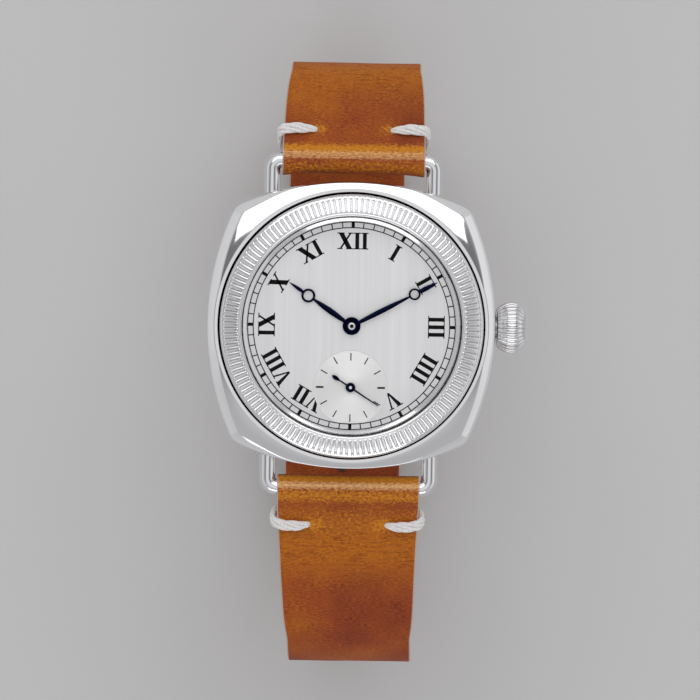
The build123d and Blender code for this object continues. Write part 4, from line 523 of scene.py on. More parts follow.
# %% Silver finishes and the sunk floor
_, dial_tree, dial_shader = new_material("brushed_silver", (0.80, 0.79, 0.78), 0.42, 0.75)
streaks = placed_noise(dial_tree, 2600, (1, 0.012, 1), 6).outputs[0]
broad = placed_noise(dial_tree, 420, (1, 0.03, 1), 3).outputs[0]
streak_sum = add_node(dial_tree, "ShaderNodeMath", {0: streaks, 1: broad}, operation="ADD")
half_sum = add_node(dial_tree, "ShaderNodeMath", {0: streak_sum.outputs[0], 1: 0.5}, operation="MULTIPLY")
dial_colour = ramp(dial_tree, half_sum.outputs[0], [(0.3, (0.80, 0.795, 0.80)), (0.7, (0.92, 0.915, 0.92))])
dial_tree.links.new(dial_colour.outputs[0], dial_shader.inputs["Base Color"])
dial_tree.links.new(spread(dial_tree, streaks, 0.34, 0.5), dial_shader.inputs["Roughness"])
bump(dial_tree, dial_shader, streaks, 0.000006)

SECONDS = (0.0, -7.66)
ring_silver, ring_tree, ring_shader = new_material("turned_silver", (0.95, 0.945, 0.935), 0.36, 0.45)
ring_where = add_node(ring_tree, "ShaderNodeTexCoord").outputs["Object"]
ring_centred = add_node(
    ring_tree, "ShaderNodeMapping", {"Vector": ring_where, "Location": (0, -SECONDS[1] * MM, 0)}
)
rings = add_node(
    ring_tree,
    "ShaderNodeTexWave",
    {"Vector": ring_centred.outputs[0], "Scale": 3200.0, "Distortion": 1.5, "Detail": 2.0},
    wave_type="RINGS",
    rings_direction="Z",
)
bump(ring_tree, ring_shader, rings.outputs["Fac"], 0.000010)

FLOOR_ROWS = [(0.36, 6.682), (0.36, 6.69), (2.0, 6.69), (4.5, 6.69), (4.6, 6.70), (4.62, 6.79)]
floor_disc = bmesh.new()
lathe(floor_disc, FLOOR_ROWS, 128, (*SECONDS, 0))
finish_piece(floor_disc, "seconds_dial_floor", "watch_head", ring_silver)

# %% [markdown]
# ## Printed figures
# The figures are printed roman numerals with their tops outwards. Each stroke is a sheared box with level
# ends, so a thick and a thin stroke make an X or a V, and hairline serifs close them above and below.
# Where the small seconds dial is sunk, the print stops, so five and seven are cut by a boolean.

# %% Strokes, letters and numerals
PRINT_LOW = 6.795
PRINT_HIGH = 6.825
LETTER_HEIGHT = 2.06
LETTER_FOOT = 9.515
SERIF = 0.13
THICK = 0.47
THIN = 0.22
ADVANCE = {"I": 0.94, "V": 1.92, "X": 2.0}

black_print, print_tree, print_shader = new_material("black_print", (0.002, 0.002, 0.003), 0.38)
print_shader.inputs["Specular IOR Level"].default_value = 0.12
bump(print_tree, print_shader, placed_noise(print_tree, 5000).outputs[0], 0.000004)


def stroke(bm, turn, low_x, high_x, width, low_y=0.0, high_y=LETTER_HEIGHT, foot=1.0):
    """A stroke with level ends, from its place at the foot to its place at the top, narrowed to its foot."""
    for vert in bmesh.ops.create_cube(bm, size=1)["verts"]:
        up = vert.co.y + 0.5
        x = low_x + (high_x - low_x) * up + vert.co.x * width * (foot + (1 - foot) * up)
        z = (PRINT_LOW + PRINT_HIGH) / 2 + vert.co.z * (PRINT_HIGH - PRINT_LOW)
        vert.co = turn @ Vector((x, LETTER_FOOT + low_y + (high_y - low_y) * up, z))


def serif(bm, turn, x, half, top):
    """A hairline across the foot or the top of a stroke."""
    low = LETTER_HEIGHT - SERIF if top else 0.0
    stroke(bm, turn, x, x, 2 * half, low, low + SERIF)


def numeral(bm, word, hour):
    """A numeral set radially at its hour."""
    turn = Matrix.Rotation(math.radians(-30 * hour), 4, "Z")
    x = -sum(ADVANCE[letter] for letter in word) / 2
    for letter in word:
        width = ADVANCE[letter]
        middle = x + width / 2
        if letter == "I":
            stroke(bm, turn, middle, middle, THICK)
            for top in (True, False):
                serif(bm, turn, middle, width / 2 - 0.03, top)
        if letter == "X":
            stroke(bm, turn, middle + 0.56, middle - 0.56, THICK + 0.16)
            stroke(bm, turn, middle - 0.64, middle + 0.68, THIN + 0.03)
            for place, half in ((-0.56, 0.44), (0.66, 0.32)):
                serif(bm, turn, middle + place, half, True)
                serif(bm, turn, middle - place, half, False)
        if letter == "V":
            stroke(bm, turn, middle + 0.12, middle - 0.52, THICK + 0.06, foot=0.42)
            stroke(bm, turn, middle + 0.16, middle + 0.62, THIN, foot=0.7)
            serif(bm, turn, middle - 0.52, 0.42, True)
            serif(bm, turn, middle + 0.62, 0.32, True)
        x += width


def add_drum(cutter, centre, height, radius, depth):
    """Adds an upright drum to a cutter."""
    place = Matrix.Translation((*centre, height))
    bmesh.ops.create_cone(
        cutter, cap_ends=True, segments=64, radius1=radius, radius2=radius, depth=depth, matrix=place
    )


def cut_out(bm, cutter):
    """Cuts a bmesh by another with a boolean and gives the rest back."""
    meshes = []
    for number, source in enumerate((bm, cutter)):
        meshes.append(bpy.data.meshes.new(f"cut_{number}"))
        source.to_mesh(meshes[-1])
    cutter.free()
    objects = [bpy.data.objects.new(mesh.name, mesh) for mesh in meshes]
    for item in objects:
        bpy.context.scene.collection.objects.link(item)
    tool = objects[0].modifiers.new("cut", "BOOLEAN")
    tool.object, tool.operation, tool.solver, tool.use_self = objects[1], "DIFFERENCE", "EXACT", True
    bpy.context.view_layer.update()
    result = bpy.data.meshes.new_from_object(objects[0].evaluated_get(bpy.context.evaluated_depsgraph_get()))
    bm.clear()
    bm.from_mesh(result)
    for item in objects:
        bpy.data.objects.remove(item)
    for mesh in meshes + [result]:
        bpy.data.meshes.remove(mesh)
    return bm


SUNK_RADIUS = 4.64
NUMERALS = {
    12: "XII", 1: "I", 2: "II", 3: "III", 4: "IIII", 5: "V", 7: "VII", 8: "VIII", 9: "IX", 10: "X", 11: "XI"
}
for hour, word in NUMERALS.items():
    figure = bmesh.new()
    numeral(figure, word, hour)
    if hour in (5, 7):
        sunk_dial = bmesh.new()
        add_drum(sunk_dial, SECONDS, PRINT_LOW, SUNK_RADIUS, 2)
        figure = cut_out(figure, sunk_dial)
    finish_piece(figure, f"numeral_{hour:02d}", "watch_head", black_print)

# %% [markdown]
# The minute track is two fine rings with a tick for each minute between them and a block at every fifth.
# The small seconds dial has twelve ticks, heavier at three and nine.

# %% Rings and ticks
def flat_ring(bm, low_radius, high_radius, centre=(0, 0), segments=240):
    """A printed ring."""
    low, high = PRINT_LOW, PRINT_HIGH
    profile = [(low_radius, low), (low_radius, high), (high_radius, high), (high_radius, low)]
    lathe(bm, profile, segments, (*centre, 0))


def tick(bm, centre, bearing, low_radius, high_radius, width, lift=0.0):
    """A printed tick that points at a centre."""
    turn = Matrix.Translation((*centre, lift)) @ Matrix.Rotation(bearing, 4, "Z")
    shape = Matrix.Diagonal((high_radius - low_radius, width, PRINT_HIGH - PRINT_LOW, 1))
    shape.translation = ((low_radius + high_radius) / 2, 0, (PRINT_LOW + PRINT_HIGH) / 2)
    bmesh.ops.create_cube(bm, size=1, matrix=turn @ shape)


track = bmesh.new()
flat_ring(track, 12.14, 12.26)
flat_ring(track, 12.84, 12.96)
for minute in range(60):
    width = 0.40 if minute % 5 == 0 else 0.13
    tick(track, (0, 0), math.radians(6 * minute), 12.17, 12.93, width)
finish_piece(track, "minute_track", "watch_head", black_print)

SECONDS_DROP = -0.11
seconds_ticks = bmesh.new()
for number in range(12):
    width = 0.22 if number in (0, 6) else 0.13
    tick(seconds_ticks, SECONDS, math.radians(30 * number), 3.35, 4.29, width, SECONDS_DROP)
finish_piece(seconds_ticks, "seconds_ticks", "watch_head", black_print)

# %% [markdown]
# ## Blued hands
# A hand is filed from thin steel and heated until it turns blue. Its blade is a leaf with a ridge along the
# middle, its moon is a ring with a domed section, and its hub is a small turned boss. Blade, moon and hub
# are drawn lying along X and turned together to the bearing of the hand.

# %% Leaves, moons and hubs
def leaf(bm, stations, low, ridge):
    """A ridged blade through (x, half width) stations, on a level, with a raised middle line."""
    count = len(stations) - 1
    made = bmesh.ops.create_grid(bm, x_segments=count, y_segments=4, size=1)
    for vert in made["verts"]:
        x, half = stations[round((vert.co.x + 1) / 2 * count)]
        across = vert.co.y
        height = low + (ridge * (1 - abs(across)) if abs(across) < 0.99 else 0)
        vert.co = (x, half * across, height)
    faces = [face for face in bm.faces if any(v in set(made["verts"]) for v in face.verts)]
    walls = bmesh.ops.extrude_face_region(bm, geom=faces)
    lower = [item for item in walls["geom"] if isinstance(item, bmesh.types.BMVert)]
    for vert in lower:
        vert.co.z = low - 0.10


def leaf_stations(start, middle, end, start_half, middle_half, end_half, count=24):
    """Widths along a blade that swells once."""
    stations = []
    for number in range(count + 1):
        x = start + (end - start) * number / count
        if x < middle:
            share = (x - start) / (middle - start)
            half = start_half + (middle_half - start_half) * math.sin(share * math.pi / 2)
        else:
            share = (x - middle) / (end - middle)
            half = end_half + (middle_half - end_half) * math.cos(share * math.pi / 2)
        stations.append((x, half))
    return stations


def round_boss(bm, x, rows):
    """A turned part of a hand, from (radius, height) rows, about a point of its blade."""
    lathe(bm, rows, 64, (x, 0, 0))


def moon_rows(inner, outer, low, high):
    """The section of a domed ring."""
    middle, half = (inner + outer) / 2, (outer - inner) / 2
    angles = [math.pi * step / 8 for step in range(9)]
    rows = [(middle + half * math.cos(angle), low + (high - low) * math.sin(angle)) for angle in angles]
    return rows + [(inner, low - 0.08), (outer, low - 0.08), rows[0]]


def lay_hand(bm, centre, bearing):
    """Turns a hand from the X axis to its bearing and sets it over its arbor."""
    weld(bm, 0.0002)
    turn = Matrix.Rotation(math.radians(bearing), 3, "Z")
    bmesh.ops.rotate(bm, cent=(0, 0, 0), matrix=turn, verts=bm.verts)
    bmesh.ops.translate(bm, vec=(*centre, 0), verts=bm.verts)


def moon_hand(low, hub, bore, moon, tip, belly, needle, name, body, bearing):
    """An hour or minute hand: hub, leaf, hollow moon and needle tip."""
    hand = bmesh.new()
    moon_x, moon_out, moon_in = moon
    blade_end = moon_x - moon_in - 0.08
    middle = hub + (blade_end - hub) * 0.42
    leaf(hand, leaf_stations(hub * 0.8, middle, blade_end, 0.2, belly, 0.11), low, 0.09)
    needle_start = moon_x + moon_in + 0.08
    needle_middle = needle_start + (tip - needle_start) * 0.28
    leaf(hand, leaf_stations(needle_start, needle_middle, tip, 0.12, needle, 0.015), low, 0.07)
    round_boss(hand, moon_x, moon_rows(moon_in, moon_out, low, low + 0.12))
    rows = [(bore, low - 0.1), (bore, low + 0.14), (hub * 0.78, low + 0.14), (hub * 0.84, low + 0.05)]
    rows += [(hub * 0.90, low + 0.05), (hub * 0.94, low + 0.11), (hub * 0.99, low + 0.08), (hub, low)]
    round_boss(hand, 0, rows + [(hub, low - 0.1), (bore, low - 0.1)])
    lay_hand(hand, (0, 0), bearing)
    finish_piece(hand, f"blued_{name}", body, blued_steel, [name], 20)


moon_hand(7.25, 1.12, 0.77, (6.56, 0.87, 0.585), 9.45, 0.36, 0.22, "hour_hand", "hour_body", 145.8)
moon_hand(7.70, 0.92, 0.46, (8.75, 0.745, 0.50), 11.97, 0.31, 0.30, "minute_hand", "minute_body", 27.8)

# %% [markdown]
# The small seconds hand is a plain needle with a leaf at its short end, and a cap closes each arbor,
# bright on the minute and seconds hands and blued in the centre.

# %% Seconds hand and arbor caps
SECONDS_LOW = 7.05
needle_stations = [(-2.0, 0.08), (-0.5, 0.10), (0.5, 0.11), (2.5, 0.085), (3.9, 0.07), (4.15, 0.05)]
hub_rows = [(0.2, 6.96), (0.2, 7.12), (0.5, 7.12), (0.58, 7.08), (0.6, 7.0), (0.6, 6.96), (0.2, 6.96)]
seconds_hand = bmesh.new()
leaf(seconds_hand, needle_stations, SECONDS_LOW, 0.04)
leaf(seconds_hand, leaf_stations(-2.76, -2.3, -1.55, 0.02, 0.26, 0.05, 12), SECONDS_LOW, 0.05)
round_boss(seconds_hand, 0, hub_rows)
lay_hand(seconds_hand, SECONDS, -32.6)
finish_piece(seconds_hand, "blued_seconds_hand", "seconds_body", blued_steel, ["seconds_hand"])

CAPS = {
    # profile, body, material, segments and place
    "minute_cap": (
        [(0.27, 7.9), (0.27, 7.965), (0.30, 7.99), (0.38, 7.99), (0.42, 7.97), (0.44, 7.9)],
        "minute_body", mirror_steel, 48, (0, 0),
    ),
    "arbor_cap": (
        [(0.0, 7.95), (0.06, 7.95), (0.10, 7.925), (0.15, 7.93), (0.20, 7.925), (0.225, 7.90)],
        "centre_body", blued_steel, 32, (0, 0),
    ),
    "seconds_cap": (
        [(0.0, 7.13), (0.08, 7.13), (0.10, 7.105), (0.12, 7.13), (0.19, 7.13), (0.21, 7.10)],
        "seconds_body", mirror_steel, 32, SECONDS,
    ),
}
for name, (rows, body, finish, segments, centre) in CAPS.items():
    cap = bmesh.new()
    lathe(cap, rows, segments, (*centre, 0))
    finish_piece(cap, name, body, finish)

# %% [markdown]
# ## Leather
# The strap is oiled, vegetable tanned leather: orange brown, redder where it is dark, and golden where it
# is stretched round a fold, that gold being partly painted sheen on the side that faces the lamps, with a
# fine grain that catches the light. The grain and the patina follow the strap through its own UV map, and
# four attributes say where it is stretched golden by the fold, where a painted highlight lies pale on the
# fold's crest, where it is bent and a lighter orange that is partly pull-up and partly painted highlight,
# and where its cut edge is, whose pale colour is partly its own tone and partly a painted reflection.

# %% The leather
UV_SPAN = 20.0
LEATHER_SHARES = ("fold", "pale", "bend", "cut_edge")
leather, leather_tree, leather_shader = new_material("pull_up_leather", (0.45, 0.13, 0.02), 0.5)
leather_shader.inputs["Specular IOR Level"].default_value = 0.23


def carried(name):
    """A share that the piece carries on its points."""
    return add_node(leather_tree, "ShaderNodeAttribute", attribute_name=name).outputs["Fac"]


def mixed(factor, first, second, blend="MIX"):
    """One colour laid over another; each is a socket or a plain colour."""
    made = add_node(leather_tree, "ShaderNodeMix", data_type="RGBA", blend_type=blend)
    for socket, value in ((made.inputs["Factor"], factor), (made.inputs[6], first), (made.inputs[7], second)):
        if isinstance(value, bpy.types.NodeSocket):
            leather_tree.links.new(value, socket)
        else:
            socket.default_value = value
    return made.outputs[2]


def worked(first, second, operation):
    """A sum, product or the like of two shares."""
    return add_node(leather_tree, "ShaderNodeMath", {0: first, 1: second}, operation=operation).outputs[0]


def grained_noise(scale, stretch, detail, roughness=0.5):
    """Noise that follows the strap's own map."""
    return placed_noise(leather_tree, scale, stretch, detail, "UV", roughness).outputs[0]


def ranged(value, low, high, to_low=0.0, to_high=1.0):
    """How far a value has come from low to high, brought to a range."""
    inputs = {"Value": value, "From Min": low, "From Max": high, "To Min": to_low, "To Max": to_high}
    return add_node(leather_tree, "ShaderNodeMapRange", inputs).outputs[0]


fold_share, crest_highlight_share, bend_share, edge_share = [carried(name) for name in LEATHER_SHARES]
patina = grained_noise(1.7, (1, 1, 1), 4, 0.6)
grain = grained_noise(52, (0.8, 2.3, 1), 6, 0.62)
uneven = grained_noise(5, (1, 1.6, 1), 3)
creases = grained_noise(22, (0.45, 2.6, 1), 3, 0.6)
stretch_grain = grained_noise(44, (1, 1.4, 1), 7, 0.75)
pores = grained_noise(140, (1, 1.3, 1), 3)

patina_colour = ramp(leather_tree, patina, [
    (0.34, (0.250, 0.040, 0.010)), (0.47, (0.330, 0.060, 0.011)),
    (0.60, (0.400, 0.090, 0.010)), (0.72, (0.46, 0.130, 0.009)),
]).outputs[0]
grain_shade = ramp(leather_tree, grain, [
    (0.38, (0.56, 0.46, 0.42)), (0.50, (0.94, 0.92, 0.90)), (0.62, (1.28, 1.44, 1.16)),
]).outputs[0]
crease_shade = ramp(leather_tree, creases, [(0.40, (0.64, 0.52, 0.46)), (0.49, (1.0, 1.0, 1.0))]).outputs[0]
# Painted highlight in part: the lighter orange at the bend is partly pull-up of the bent leather and partly
# painted where the strap faces the lamps.
bent = mixed(bend_share, patina_colour, (0.50, 0.140, 0.006, 1))
grained = mixed(ranged(uneven, 0.36, 0.62, 0.35, 0.95), bent, grain_shade, "MULTIPLY")
creased = mixed(worked(bend_share, 0.8, "MULTIPLY"), grained, crease_shade, "MULTIPLY")

# The fold's gold is partly the pull-up of stretched leather and partly painted sheen on the side of the fold
# that faces the lamps.
pull_and_sheen = worked(worked(fold_share, 0.34, "MULTIPLY"), worked(bend_share, 0.07, "MULTIPLY"), "ADD")
gold_share = worked(ranged(worked(stretch_grain, pull_and_sheen, "ADD"), 0.62, 0.78), 0.88, "MULTIPLY")
golden = mixed(gold_share, creased, mixed(0.4, (0.72, 0.27, 0.010, 1), grain_shade, "MULTIPLY"))
# Painted highlight: the pale colour stands for the lamp's reflection on each fold's crest, broken up by the
# grain.
crest_highlight_speckle = worked(worked(grain, 1.6, "MULTIPLY"), crest_highlight_share, "ADD")
crest_highlighted = mixed(ranged(crest_highlight_speckle, 1.15, 2.0), golden, (0.98, 0.58, 0.25, 1))
# Painted reflection in part: the pale edge colour is partly the cut edge's own tone and partly the lamps'
# reflection on the burnished edge, painted in.
edge_tone_and_reflection = mixed(edge_share, crest_highlighted, (0.60, 0.49, 0.44, 1))
leather_tree.links.new(edge_tone_and_reflection, leather_shader.inputs["Base Color"])

calm = spread(leather_tree, grain, 0.50, 0.66)
shine = worked(calm, worked(fold_share, 0.24, "MULTIPLY"), "SUBTRACT")
leather_tree.links.new(shine, leather_shader.inputs["Roughness"])
relief = worked(worked(grain, pores, "ADD"), worked(stretch_grain, fold_share, "MULTIPLY"), "ADD")
bump(leather_tree, leather_shader, relief, 0.00009, 0.9)

# %% [markdown]
# ## Folded straps
# Each strap is one sheet of leather laid double: it runs up from the buckle or the tail, round the lug's
# bar, and back along its own inner face. The sheet's section is a flat bar with rounded edges, swept along
# that path. The grid that carries it has one row for each station and one column for each point of the
# section. Each strap leans a little to the right where it bends, as the worn one does, and a boolean cuts
# its slot or its punched holes.

# %% Sweeping a sheet of leather along a strap's line
LEATHER = 0.85
LUG_FOLD = 1.30
BUCKLE_FOLD = 0.8 + LEATHER / 2
FOLD_RUN = 3.7
FOLD_STEPS = 14
FOLD_FLARE = 0.35
EDGE_ROUND = 0.2
SKIVED = 0.32
WAVE = 0.05
ROW_STEP = 0.6
STRAP_HALF, BUCKLE_HALF = 8.93, 7.86
BEND_DROP = 5.1
TAPER_Z, TAPER_DROP = -12.0, 14.0
BUCKLE_Z = -37.0
STITCH_HOLES = [(x, y) for x in (-4.3, 4.3) for y in (24.35, -25.1)]


def half_width(z, at_bend):
    """Half the strap's width, which narrows from the lug to the bend and a little more to the buckle."""
    bend_half = STRAP_HALF + (at_bend - STRAP_HALF) * min(1.0, max(0.0, (LUG_Z - z) / BEND_DROP))
    return bend_half + (BUCKLE_HALF - at_bend) * min(1.0, max(0.0, (TAPER_Z - z) / TAPER_DROP))


def run_lengths(points):
    """How far along a line each of its points lies."""
    lengths = [0.0]
    for start, end in zip(points, points[1:]):
        lengths.append(lengths[-1] + (end - start).length)
    return lengths


def evenly(points, step):
    """The same line with its points a step apart."""
    spaced, spare = [points[0].copy()], 0.0
    for start, end in zip(points, points[1:]):
        length = (end - start).length
        while spare + length >= step:
            share = (step - spare) / length
            start = start + (end - start) * share
            length = (end - start).length
            spaced.append(start.copy())
            spare = 0.0
        spare += length
    return spaced + [points[-1].copy()]


def lay_double(middle, first_fold, last_fold, outward):
    """The path of a sheet laid double along a middle line and folded at its ends, as (point, place, turn)."""
    count = len(middle)
    length = run_lengths(middle)
    rows = []
    for number, point in enumerate(middle):
        ahead, behind = middle[min(number + 1, count - 1)], middle[max(number - 1, 0)]
        along = (ahead - behind).normalized()
        normal = Vector((-along.y, along.x)) * outward
        lift = LEATHER / 2 + 0.02
        for reach, bar in ((length[number], first_fold), (length[-1] - length[number], last_fold)):
            if bar and reach < FOLD_RUN:
                share = reach / FOLD_RUN
                lift = max(lift, bar + (LEATHER / 2 - bar) * share * share * (3 - 2 * share))
        rows.append((point, normal, lift, along))
    outer = [(point + normal * lift, place, 0.0) for (point, normal, lift, _), place in zip(rows, length)]
    inner = [(point - normal * lift, place, math.pi) for (point, normal, lift, _), place in zip(rows, length)]

    def turn_round(row, radius, sign, place):
        """Points round the bar, from the outer face to the inner."""
        point, normal, _, along = row
        arcs = []
        for step in range(1, FOLD_STEPS):
            angle = math.pi * step / FOLD_STEPS
            spot = point + normal * radius * math.cos(angle) + along * sign * radius * math.sin(angle)
            arcs.append((spot, place, angle))
        return arcs

    path = list(reversed(outer))
    path += turn_round(rows[0], first_fold, -1, 0.0)
    path += inner
    if last_fold:
        path += list(reversed(turn_round(rows[-1], last_fold, 1, length[-1])))
    return path, bool(last_fold)


def section_points(half, thick, columns=18):
    """The rounded flat section of the sheet, as (x, thickness, is edge), once round."""
    inner_x, inner_t = half - EDGE_ROUND, thick - EDGE_ROUND
    turns = [math.pi / 2 * k / 3 for k in (1, 2, 3)]
    corner = [(inner_x + EDGE_ROUND * math.sin(a), inner_t + EDGE_ROUND * math.cos(a)) for a in turns]
    points = [((-1 + 2 * k / columns) * inner_x, thick, 0.0) for k in range(columns + 1)]
    points += [(x, t, 0.85) for x, t in corner] + [(half, 0.0, 1.0)]
    points += [(x, -t, 0.85) for x, t in reversed(corner)]
    points += [(-x, -t, cut) for x, t, cut in points]
    return points + points[:1]


def hump(place, centre, width):
    """A share that is 1 at a place and fades to either side."""
    return math.exp(-(((place - centre) / width) ** 2))


def leather_grid(columns, rows):
    """A grid with the strap's map and the leather's four shares, and the column and row of each point."""
    bm = bmesh.new()
    bmesh.ops.create_grid(bm, x_segments=columns, y_segments=rows, size=1)
    bm.verts.index_update()
    uv = bm.loops.layers.uv.new("strap")
    layers = [bm.verts.layers.float.new(share) for share in LEATHER_SHARES]
    cells = [(v, round((v.co.x + 1) / 2 * columns), round((v.co.y + 1) / 2 * rows)) for v in bm.verts]
    return bm, uv, layers, cells


def lay_map(bm, uv, flat):
    """Lays the strap's map on a grid and welds the grid's seams."""
    for face in bm.faces:
        for loop in face.loops:
            loop[uv].uv = flat[loop.vert.index]
    weld(bm, 0.003)


def strap_sheet(name, middle, first_fold, last_fold, outward, tip, at_bend, looks, holes, node, seed):
    """A folded strap as one piece, with its holes punched."""
    path, closed = lay_double(evenly(middle, ROW_STEP), first_fold, last_fold, outward)
    if closed:
        path = path + path[:1]
    points = [point for point, _, _ in path]
    around = points[-2:-1] + points + points[1:2] if closed else points[:1] + points + points[-1:]
    travelled = run_lengths(points)
    longest = max(place for _, place, _ in path)
    columns = len(section_points(STRAP_HALF, LEATHER / 2)) - 1
    bm, uv, (fold_layer, crest_highlight_layer, bend_layer, edge_layer), cells = leather_grid(columns, len(path) - 1)
    flat = {}
    for vert, column, row in cells:
        point, place, turn = path[row]
        along = (around[row + 2] - around[row]).normalized()
        normal = Vector((along.y, -along.x)) * outward
        half = half_width(point.y, at_bend)
        if tip and longest - place < tip:
            share = 1 - (longest - place) / tip
            half *= math.sqrt(max(0.0, 1 - share**2.6)) * 0.999 + 0.001
        near_bar = math.exp(-((place / 2.4) ** 4))
        thickness = LEATHER / 2 * (1 - SKIVED * near_bar)
        x, thick, cut = section_points(max(half, EDGE_ROUND * 1.5), thickness)[column]
        wave = WAVE * noise.noise(Vector((x / 4, travelled[row] / 5, seed)))
        spot = point + normal * (thick + wave * (1 - cut))
        sag = FOLD_FLARE * near_bar * math.sin(turn) * (x / STRAP_HALF) ** 4 if outward > 0 else 0.0
        vert.co = (x + looks["lean"] * hump(place, *looks["leans_at"]), spot.x - sag, spot.y)
        at_hole = max(hump(x, hole[0], 1.1) * hump(point.x, hole[1], 0.9) for hole in STITCH_HOLES)
        run = place - 1.6 * turn
        # Gold humps: partly pull-up, partly painted sheen where the fold faces the lamps.
        golden_share = max(height * hump(run, centre, width) for centre, width, height in looks["gold"])
        vert[fold_layer] = max(golden_share, 0.8 * at_hole if turn == 0 else 0.0)
        # The pale share places that painted highlight on the side of the fold's crest that faces the top
        # panel.
        vert[crest_highlight_layer] = hump(run, *looks["pale"])
        vert[bend_layer] = hump(place, *looks["bend"])
        vert[edge_layer] = cut
        flat[vert.index] = ((x + 10) / UV_SPAN, travelled[row] / UV_SPAN + seed)
    lay_map(bm, uv, flat)
    if not closed:
        bmesh.ops.holes_fill(bm, edges=[e for e in bm.edges if e.is_boundary], sides=0)
    finish_piece(cut_out(bm, holes), name, "watch_head", leather, [node], 60)


SHORT_BEND, SHORT_HEEL = Vector((33.6, -0.6)), Vector((26.0, BUCKLE_Z))
SHORT_LINE = rounded_path([(LUG_BAR_Y, LUG_Z), SHORT_BEND, SHORT_HEEL, (-2.0, BUCKLE_Z)], [8.0, 12.0])
LAYERS_APART = 1.8
TAIL_RISE = 12.6
TAIL_Z = BUCKLE_Z - LAYERS_APART
LONG_CORNERS = [
    (-LUG_BAR_Y, LUG_Z), (-46.7, -3.2), (-33.0, -37.7), (-9.5, -37.7),
    (-5.0, -39.6), (0.6, -39.6), (2.9, TAIL_Z),
]
heel_run = (SHORT_BEND - SHORT_HEEL).normalized()
side_point = SHORT_HEEL + Vector((heel_run.y, -heel_run.x)) * LAYERS_APART
tail_corner = side_point + heel_run * ((TAIL_Z - side_point.y) / heel_run.y)
tail_end = tail_corner + heel_run * TAIL_RISE
LONG_LINE = rounded_path(
    LONG_CORNERS + [tuple(tail_corner), tuple(tail_end)], [10.0, 12.0, 2.5, 2.5, 2.5, 2.5, 13.8]
)
# The gold and pale places differ between the straps because they follow the lamps: the pale is a painted
# highlight, the gold partly pull-up and partly painted sheen.
short_looks = {
    "gold": [(1.1, 0.75, 1.0), (-1.3, 1.3, 0.55)],
    "pale": (0.32, 0.50), "bend": (12.0, 4.5), "lean": 0.45, "leans_at": (20.0, 11.0),
}
long_looks = {
    "gold": [(-1.7, 0.85, 1.0), (0.6, 1.1, 0.72), (3.6, 2.2, 0.35)],
    "pale": (-0.72, 0.55), "bend": (7.5, 4.0), "lean": 0.9, "leans_at": (34.0, 17.0),
}
HOLE_HALF, HOLE_ENDS_Y, HOLE_Z = 0.95, (-3.55, -6.95), -38.3
SPARE_RADIUS, SPARE_PITCH, SPARE_START_Y = 0.8, 6.5, -7.9
tongue_slot = bmesh.new()
slot_box = Matrix.Translation((0, -2.7, BUCKLE_Z)) @ Matrix.Diagonal((1.5, 4.05, 6, 1))
bmesh.ops.create_cube(tongue_slot, size=1, matrix=slot_box)
punched = bmesh.new()
for y in HOLE_ENDS_Y:
    add_drum(punched, (0, y), HOLE_Z, HOLE_HALF, 5.4)
hole_box = Matrix.Translation((0, sum(HOLE_ENDS_Y) / 2, HOLE_Z)) @ Matrix.Diagonal((1.88, 3.4, 5.3, 1))
bmesh.ops.create_cube(punched, size=1, matrix=hole_box)
for number in (1, 2, 3):
    add_drum(punched, (0, SPARE_START_Y - SPARE_PITCH * number), -38.0, SPARE_RADIUS, 4.0)
strap_sheet(
    "strap_leather_short", SHORT_LINE, LUG_FOLD, BUCKLE_FOLD, 1, 0.0, 8.22,
    short_looks, tongue_slot, "strap_short", 1.3,
)
strap_sheet(
    "strap_leather_long", LONG_LINE, LUG_FOLD, 0.0, -1, 7.0, BUCKLE_HALF,
    long_looks, punched, "strap_long", 4.7,
)

# %% [markdown]
# ## Binding threads
# Each fold is held by two loops of thick waxed thread that pass through a hole, wrap round the strap's
# edge and come back underneath. A loop is five strands that wind round one line; the line is thin where it
# enters the hole and full where it lies on the leather.

# %% Twisted strands
thread, thread_tree, thread_shader = new_material("waxed_thread", (0.80, 0.79, 0.75), 0.5)
fibres = placed_noise(thread_tree, 6000, (1, 0.3, 1), 4).outputs[0]
fibre_colour = ramp(thread_tree, fibres, [(0.3, (0.72, 0.70, 0.69)), (0.7, (0.93, 0.90, 0.89))])
thread_tree.links.new(fibre_colour.outputs[0], thread_shader.inputs["Base Color"])
bump(thread_tree, thread_shader, fibres, 0.00005)
STRANDS = 5
TURNS = 1.6
STRAND_RADIUS = 0.25
BUNDLE = (0.44, 0.18)


def smooth_line(corners, count):
    """A smooth line through a loop's main points."""
    curve, spline = new_curve(corners, "NURBS")
    spline.order_u = 3
    spline.use_endpoint_u = True
    curve.resolution_u = 16
    mesh = curve_mesh(curve)
    points = [vert.co.copy() for vert in mesh.vertices]
    bpy.data.meshes.remove(mesh)
    return evenly(points, run_lengths(points)[-1] / count)


def taper(share):
    """How full a thread is along its loop: thin in the hole, full on the leather."""
    return min(1.0, min(share, 1 - share) / 0.22) ** 0.8


def thread_loop(name, corners, node):
    """A twisted thread along a loop."""
    line = smooth_line(corners, 90)
    whole = bmesh.new()
    for strand in range(STRANDS):
        wound = []
        for number, point in enumerate(line):
            share = number / (len(line) - 1)
            along = (line[min(number + 1, len(line) - 1)] - line[max(number - 1, 0)]).normalized()
            across = Vector((0, 1, 0)) if abs(along.y) < 0.9 else Vector((1, 0, 0))
            across = (across - along * across.dot(along)).normalized()
            up = along.cross(across)
            angle = 2 * math.pi * (TURNS * share + strand / STRANDS)
            full = taper(share)
            side = across * BUNDLE[0] * math.cos(angle) + up * BUNDLE[1] * math.sin(angle)
            wound.append(point + side * full)
        tube(whole, wound, STRAND_RADIUS, 3, lambda t: 0.3 + 0.7 * taper(t))
    finish_piece(whole, name, "watch_head", thread, [node], 80)


